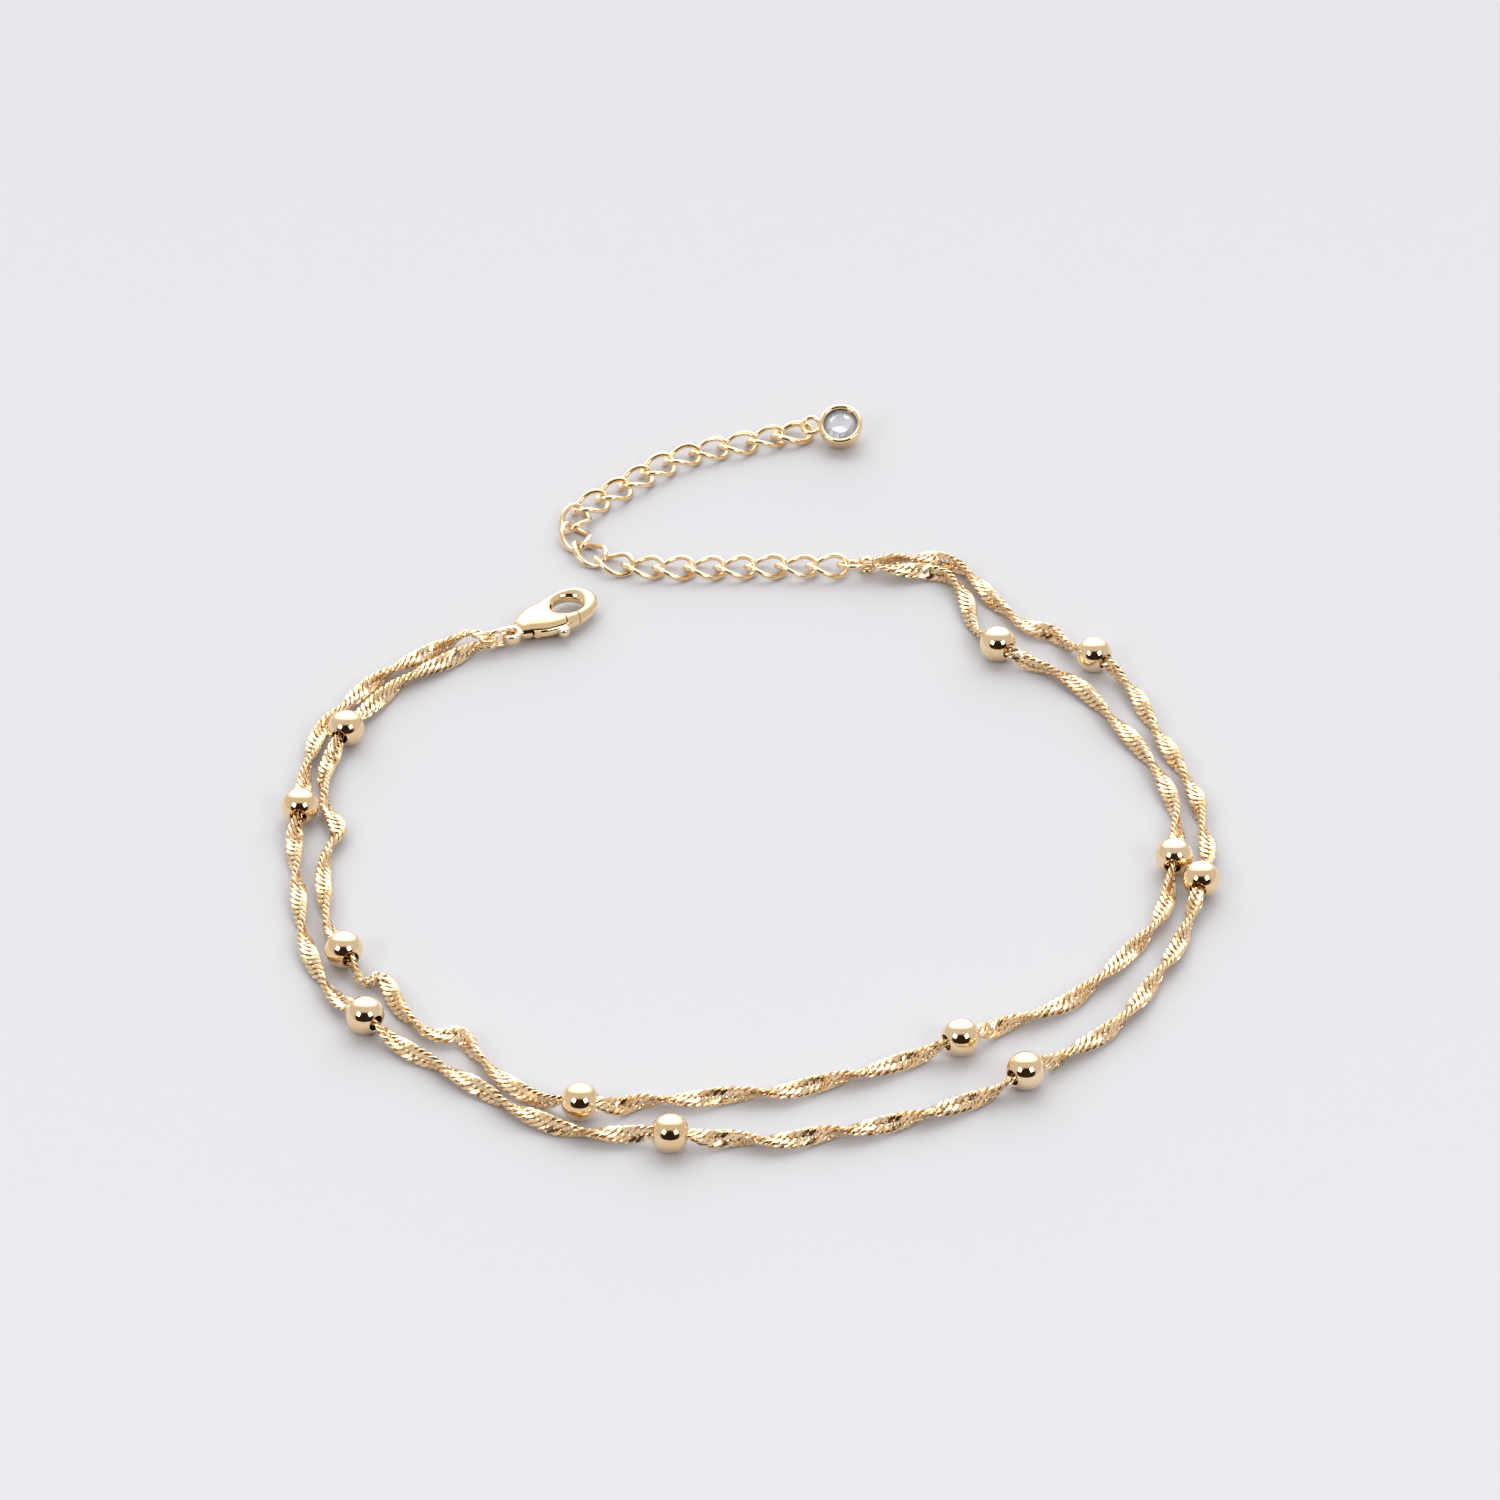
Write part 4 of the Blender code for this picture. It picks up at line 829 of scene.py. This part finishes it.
def add_extender():
    """The extender's links and the drop's link. Returns the middle of that link's far wire."""
    course, _ = smooth_course([moved(x, y) for x, y in EXTENDER_ROUTE])
    points = np.array([tuple(point) for point in course])
    arc = arc_along(points)

    def at(distance):
        return Vector([np.interp(distance, arc, points[:, k]) for k in range(3)])

    pitch = LINK_LENGTH - 2 * LINK_WIRE - LINK_PLAY
    joint = course[0]
    for number in range(1, LINK_COUNT + 1):
        along = (at(number * pitch) - joint).normalized()
        heading = math.degrees(math.atan2(along.y, along.x)) + 180
        centre = joint + along * pitch / 2
        node = f"link_{number:02d}"
        centre.z = middle(node).z
        link = mesh_of(*wire_ring(LINK_LENGTH, LINK_WIDTH, LINK_WIRE, LINK_TWIST))
        sway = LINK_SWAY * math.sin(SWAY_STEP * number)
        add_piece(f"extender_{node}", link, wire_gold, node,
                  place=Matrix.Translation(centre) @ facing(heading, roll=sway))
        joint = joint + along * pitch
    along = (at((LINK_COUNT + 1) * pitch) - joint).normalized()
    heading = math.degrees(math.atan2(along.y, along.x)) + 180
    centre = joint + along * (DROP_LINK_LENGTH / 2 - DROP_LINK_WIRE - DROP_PLAY)
    centre.z = middle("drop_link").z
    link = mesh_of(*wire_ring(DROP_LINK_LENGTH, DROP_LINK_WIDTH, DROP_LINK_WIRE, DROP_LINK_TWIST))
    add_piece("drop_oval", link, wire_gold, "drop_link", place=Matrix.Translation(centre) @ facing(heading))
    return centre + along * (DROP_LINK_LENGTH - DROP_LINK_WIRE) / 2


# Drop


def bezel_mesh():
    """The bezel cup, its lip burnished over the stone, with its back at Z = 0."""
    outer, back = BEZEL_DIAMETER / 2, BEZEL_BACK_DIAMETER / 2
    inside = outer - BEZEL_WALL
    lip_height = BEZEL_HEIGHT - BEZEL_ROUNDING
    rim, rim_foot = BEZEL_WALL + BEZEL_LIP, lip_height - BEZEL_RIM_DROP
    profile = [(BEZEL_FLAT_SHARE * back, 0.0), *((back + out, rise) for out, rise in BEZEL_FOOT)]
    profile += [(outer, BEZEL_FLARE_HEIGHT), (outer, rim_foot)]
    for k in range(1, BEZEL_RIM_STEPS):
        turn = math.pi * k / BEZEL_RIM_STEPS
        rise = (BEZEL_ROUNDING + BEZEL_RIM_DROP) * math.sin(turn)
        profile.append((outer - rim / 2 * (1 - math.cos(turn)), rim_foot + rise))
    profile += [(outer - rim, rim_foot), (inside, lip_height - BEZEL_LIP), (inside, BEZEL_FLARE_HEIGHT)]
    profile += [(back - BEZEL_WALL, BEZEL_FLOOR), (BEZEL_FLAT_SHARE * back, BEZEL_FLOOR)]
    points = []
    for radius, z in profile:
        points += [(x, y, z) for x, y in disc((0, 0), 2 * radius, BEZEL_SIDES)]
    faces = grid_faces(len(profile), BEZEL_SIDES, closed=False)
    last = (len(profile) - 1) * BEZEL_SIDES
    faces += [tuple(range(BEZEL_SIDES)), tuple(range(last, last + BEZEL_SIDES))]
    return mesh_of(points, faces)


def brilliant_mesh():
    """A round brilliant of 57 facets, its girdle's foot at Z = 0."""
    radius = BEZEL_DIAMETER / 2 - BEZEL_WALL - STONE_CLEARANCE
    points, faces = [], []

    def ring(share, z, sides, offset=0.0):
        first = len(points)
        for k in range(sides):
            angle = math.tau * (k + offset) / sides
            points.append((radius * share * math.cos(angle), radius * share * math.sin(angle), z))
        return [first + k for k in range(sides)]

    table = ring(STONE_TABLE_SHARE, STONE_GIRDLE + STONE_CROWN, 8)
    kite = ring(STONE_KITE_SHARE, STONE_GIRDLE + STONE_CROWN * STONE_KITE_RISE, 8, 0.5)
    top = ring(1.0, STONE_GIRDLE, 16)
    foot = ring(1.0, 0.0, 16)
    pavilion = ring(STONE_BACK_SHARE, -STONE_PAVILION * STONE_BACK_DEPTH, 8, 0.5)
    culet = len(points)
    points.append((0.0, 0.0, -STONE_PAVILION))
    faces.append(table)
    for k in range(8):
        after = (k + 1) % 8
        faces.append((table[k], kite[k], table[after]))
        faces.append((table[k], kite[k - 1], top[2 * k], kite[k]))
        faces.append((kite[k], top[2 * k], top[2 * k + 1]))
        faces.append((kite[k], top[2 * k + 1], top[(2 * k + 2) % 16]))
        faces.append((pavilion[k], foot[2 * k + 1], foot[2 * k]))
        faces.append((pavilion[k], foot[(2 * k + 2) % 16], foot[2 * k + 1]))
        faces.append((culet, pavilion[k], foot[2 * k], pavilion[k - 1]))
    for k in range(16):
        after = (k + 1) % 16
        faces.append((foot[k], foot[after], top[after], top[k]))
    return mesh_of(points, faces)


def lowest(mesh, turn):
    return -min((turn @ vertex.co).z for vertex in mesh.vertices)


def add_drop(hang):
    half_bail = (BAIL_DIAMETER - BAIL_WIRE) / 2
    bail_out = BEZEL_DIAMETER / 2 + half_bail - BAIL_SEAT
    bail = mesh_of(*wire_ring(BAIL_DIAMETER, BAIL_DIAMETER, BAIL_WIRE))
    bail.transform(Matrix.Translation((-bail_out, 0, BAIL_HEIGHT)))
    setting = combined(bezel_mesh(), [bail], "UNION")
    turn = facing(DROP_HEADING, roll=DROP_TILT)
    seat = turn @ Vector((-bail_out - half_bail + (DROP_LINK_WIRE + BAIL_WIRE) / 2 + GAP, 0, 0))
    place = Matrix.Translation((hang.x - seat.x, hang.y - seat.y, lowest(setting, turn))) @ turn
    add_piece("drop_bezel", setting, polished, "drop_setting", place=place, sharp=SHARP_ROUND)
    seat_height = BEZEL_HEIGHT - BEZEL_ROUNDING - BEZEL_LIP - STONE_GIRDLE - STONE_CLEARANCE
    clear, foil = stone_materials()
    stone = add_piece("drop_brilliant", brilliant_mesh(), clear, "drop_stone",
                      place=place @ Matrix.Translation((0, 0, seat_height)))
    stone.data.shade_flat()
    stone.data.materials.append(foil)
    up = place.to_3x3() @ Vector((0, 0, 1))
    for face in stone.data.polygons:
        face.material_index = 1 if face.normal.dot(up) < FOIL_BELOW else 0


# Floor, light and camera


def add_floor():
    made, _, _ = node_material("pale_floor", FLOOR_COLOUR, FLOOR_ROUGHNESS)
    mesh = bpy.data.meshes.new("floor")
    corners = [(x * FLOOR_REACH, y * FLOOR_REACH, 0) for x, y in ((-1, -1), (1, -1), (1, 1), (-1, 1))]
    mesh.from_pydata(corners, [], [(0, 1, 2, 3)])
    mesh.materials.append(made)
    floor = bpy.data.objects.new("floor", mesh)
    bpy.context.scene.collection.objects.link(floor)


def add_light(name, place, size, power):
    lamp = bpy.data.lights.new(name, "AREA")
    lamp.shape = "RECTANGLE"
    lamp.size = lamp.size_y = size
    lamp.energy = power
    light = bpy.data.objects.new(name, lamp)
    light.location = place
    light.rotation_euler = (-Vector(place)).to_track_quat("-Z", "Y").to_euler()
    bpy.context.scene.collection.objects.link(light)


def add_world():
    """A bright window behind the anklet, pale walls, and a dark place in front of it."""
    world = bpy.data.worlds.new("studio")
    world.use_nodes = True
    nodes, links = world.node_tree.nodes, world.node_tree.links
    direction = nodes.new("ShaderNodeTexCoord").outputs["Generated"]

    def vector_step(operation, first, second=None):
        step = nodes.new("ShaderNodeVectorMath")
        step.operation = operation
        links.new(first, step.inputs[0])
        if second:
            step.inputs[1].default_value = second
        return step.outputs["Value" if operation in ("LENGTH", "DOT_PRODUCT") else "Vector"]

    def soft_edge(value, edge):
        step = nodes.new("ShaderNodeMapRange")
        step.interpolation_type = "SMOOTHSTEP"
        step.inputs["From Min"].default_value, step.inputs["From Max"].default_value = edge
        links.new(value, step.inputs["Value"])
        return step.outputs["Result"]

    def blended(share, first, second):
        mix = nodes.new("ShaderNodeMix")
        mix.data_type = "RGBA"
        links.new(share, mix.inputs["Factor"])
        for name, colour in (("A", first), ("B", second)):
            socket = next(s for s in mix.inputs if s.name == name and s.type == "RGBA")
            if isinstance(colour, tuple):
                socket.default_value = colour
            else:
                links.new(colour, socket)
        return next(s for s in mix.outputs if s.type == "RGBA")

    window = soft_edge(vector_step("DOT_PRODUCT", direction, WINDOW_TOWARDS), WINDOW_EDGE)
    offset = vector_step("SUBTRACT", direction, DARK_TOWARDS)
    away = vector_step("LENGTH", vector_step("MULTIPLY", offset, DARK_STRETCH))
    lit = blended(window, STUDIO_WALL, STUDIO_WINDOW)
    links.new(blended(soft_edge(away, DARK_EDGE), STUDIO_DARK, lit), nodes["Background"].inputs["Color"])
    nodes["Background"].inputs["Strength"].default_value = STUDIO_STRENGTH
    bpy.context.scene.world = world


def add_camera():
    lens = bpy.data.cameras.new("camera")
    lens.sensor_width = SENSOR
    lens.lens = SENSOR * FOCAL_PIXELS / FRAME_PIXELS
    lens.clip_start, lens.clip_end = CLIP
    camera = bpy.data.objects.new("camera", lens)
    x, y, z = CAMERA_PLACE
    camera.location = Vector((x + SHIFT.x, y + SHIFT.y, z)) * METRES
    camera.rotation_euler = (math.radians(90 - CAMERA_ELEVATION), 0, 0)
    bpy.context.scene.collection.objects.link(camera)
    bpy.context.scene.camera = camera


add_camera()
add_floor()
add_world()
for lamp_name, lamp_place, lamp_size, lamp_power in LAMPS:
    add_light(lamp_name, lamp_place, lamp_size, lamp_power)
bpy.context.scene.view_settings.view_transform = "Standard"

clasp_loops, ring_loops = clasp_end_loops(), ring_end_loops()
add_strand("strand_inner", "bead_inner", INNER_ROUTE, (clasp_loops[0], ring_loops[0]),
           INNER_TURN_START, INNER_HALF_TURN, INNER_SEED)
add_strand("strand_outer", "bead_outer", OUTER_ROUTE, (clasp_loops[1], ring_loops[1]),
           OUTER_TURN_START, OUTER_HALF_TURN, OUTER_SEED)
add_clasp()
add_rings()
add_drop(add_extender())
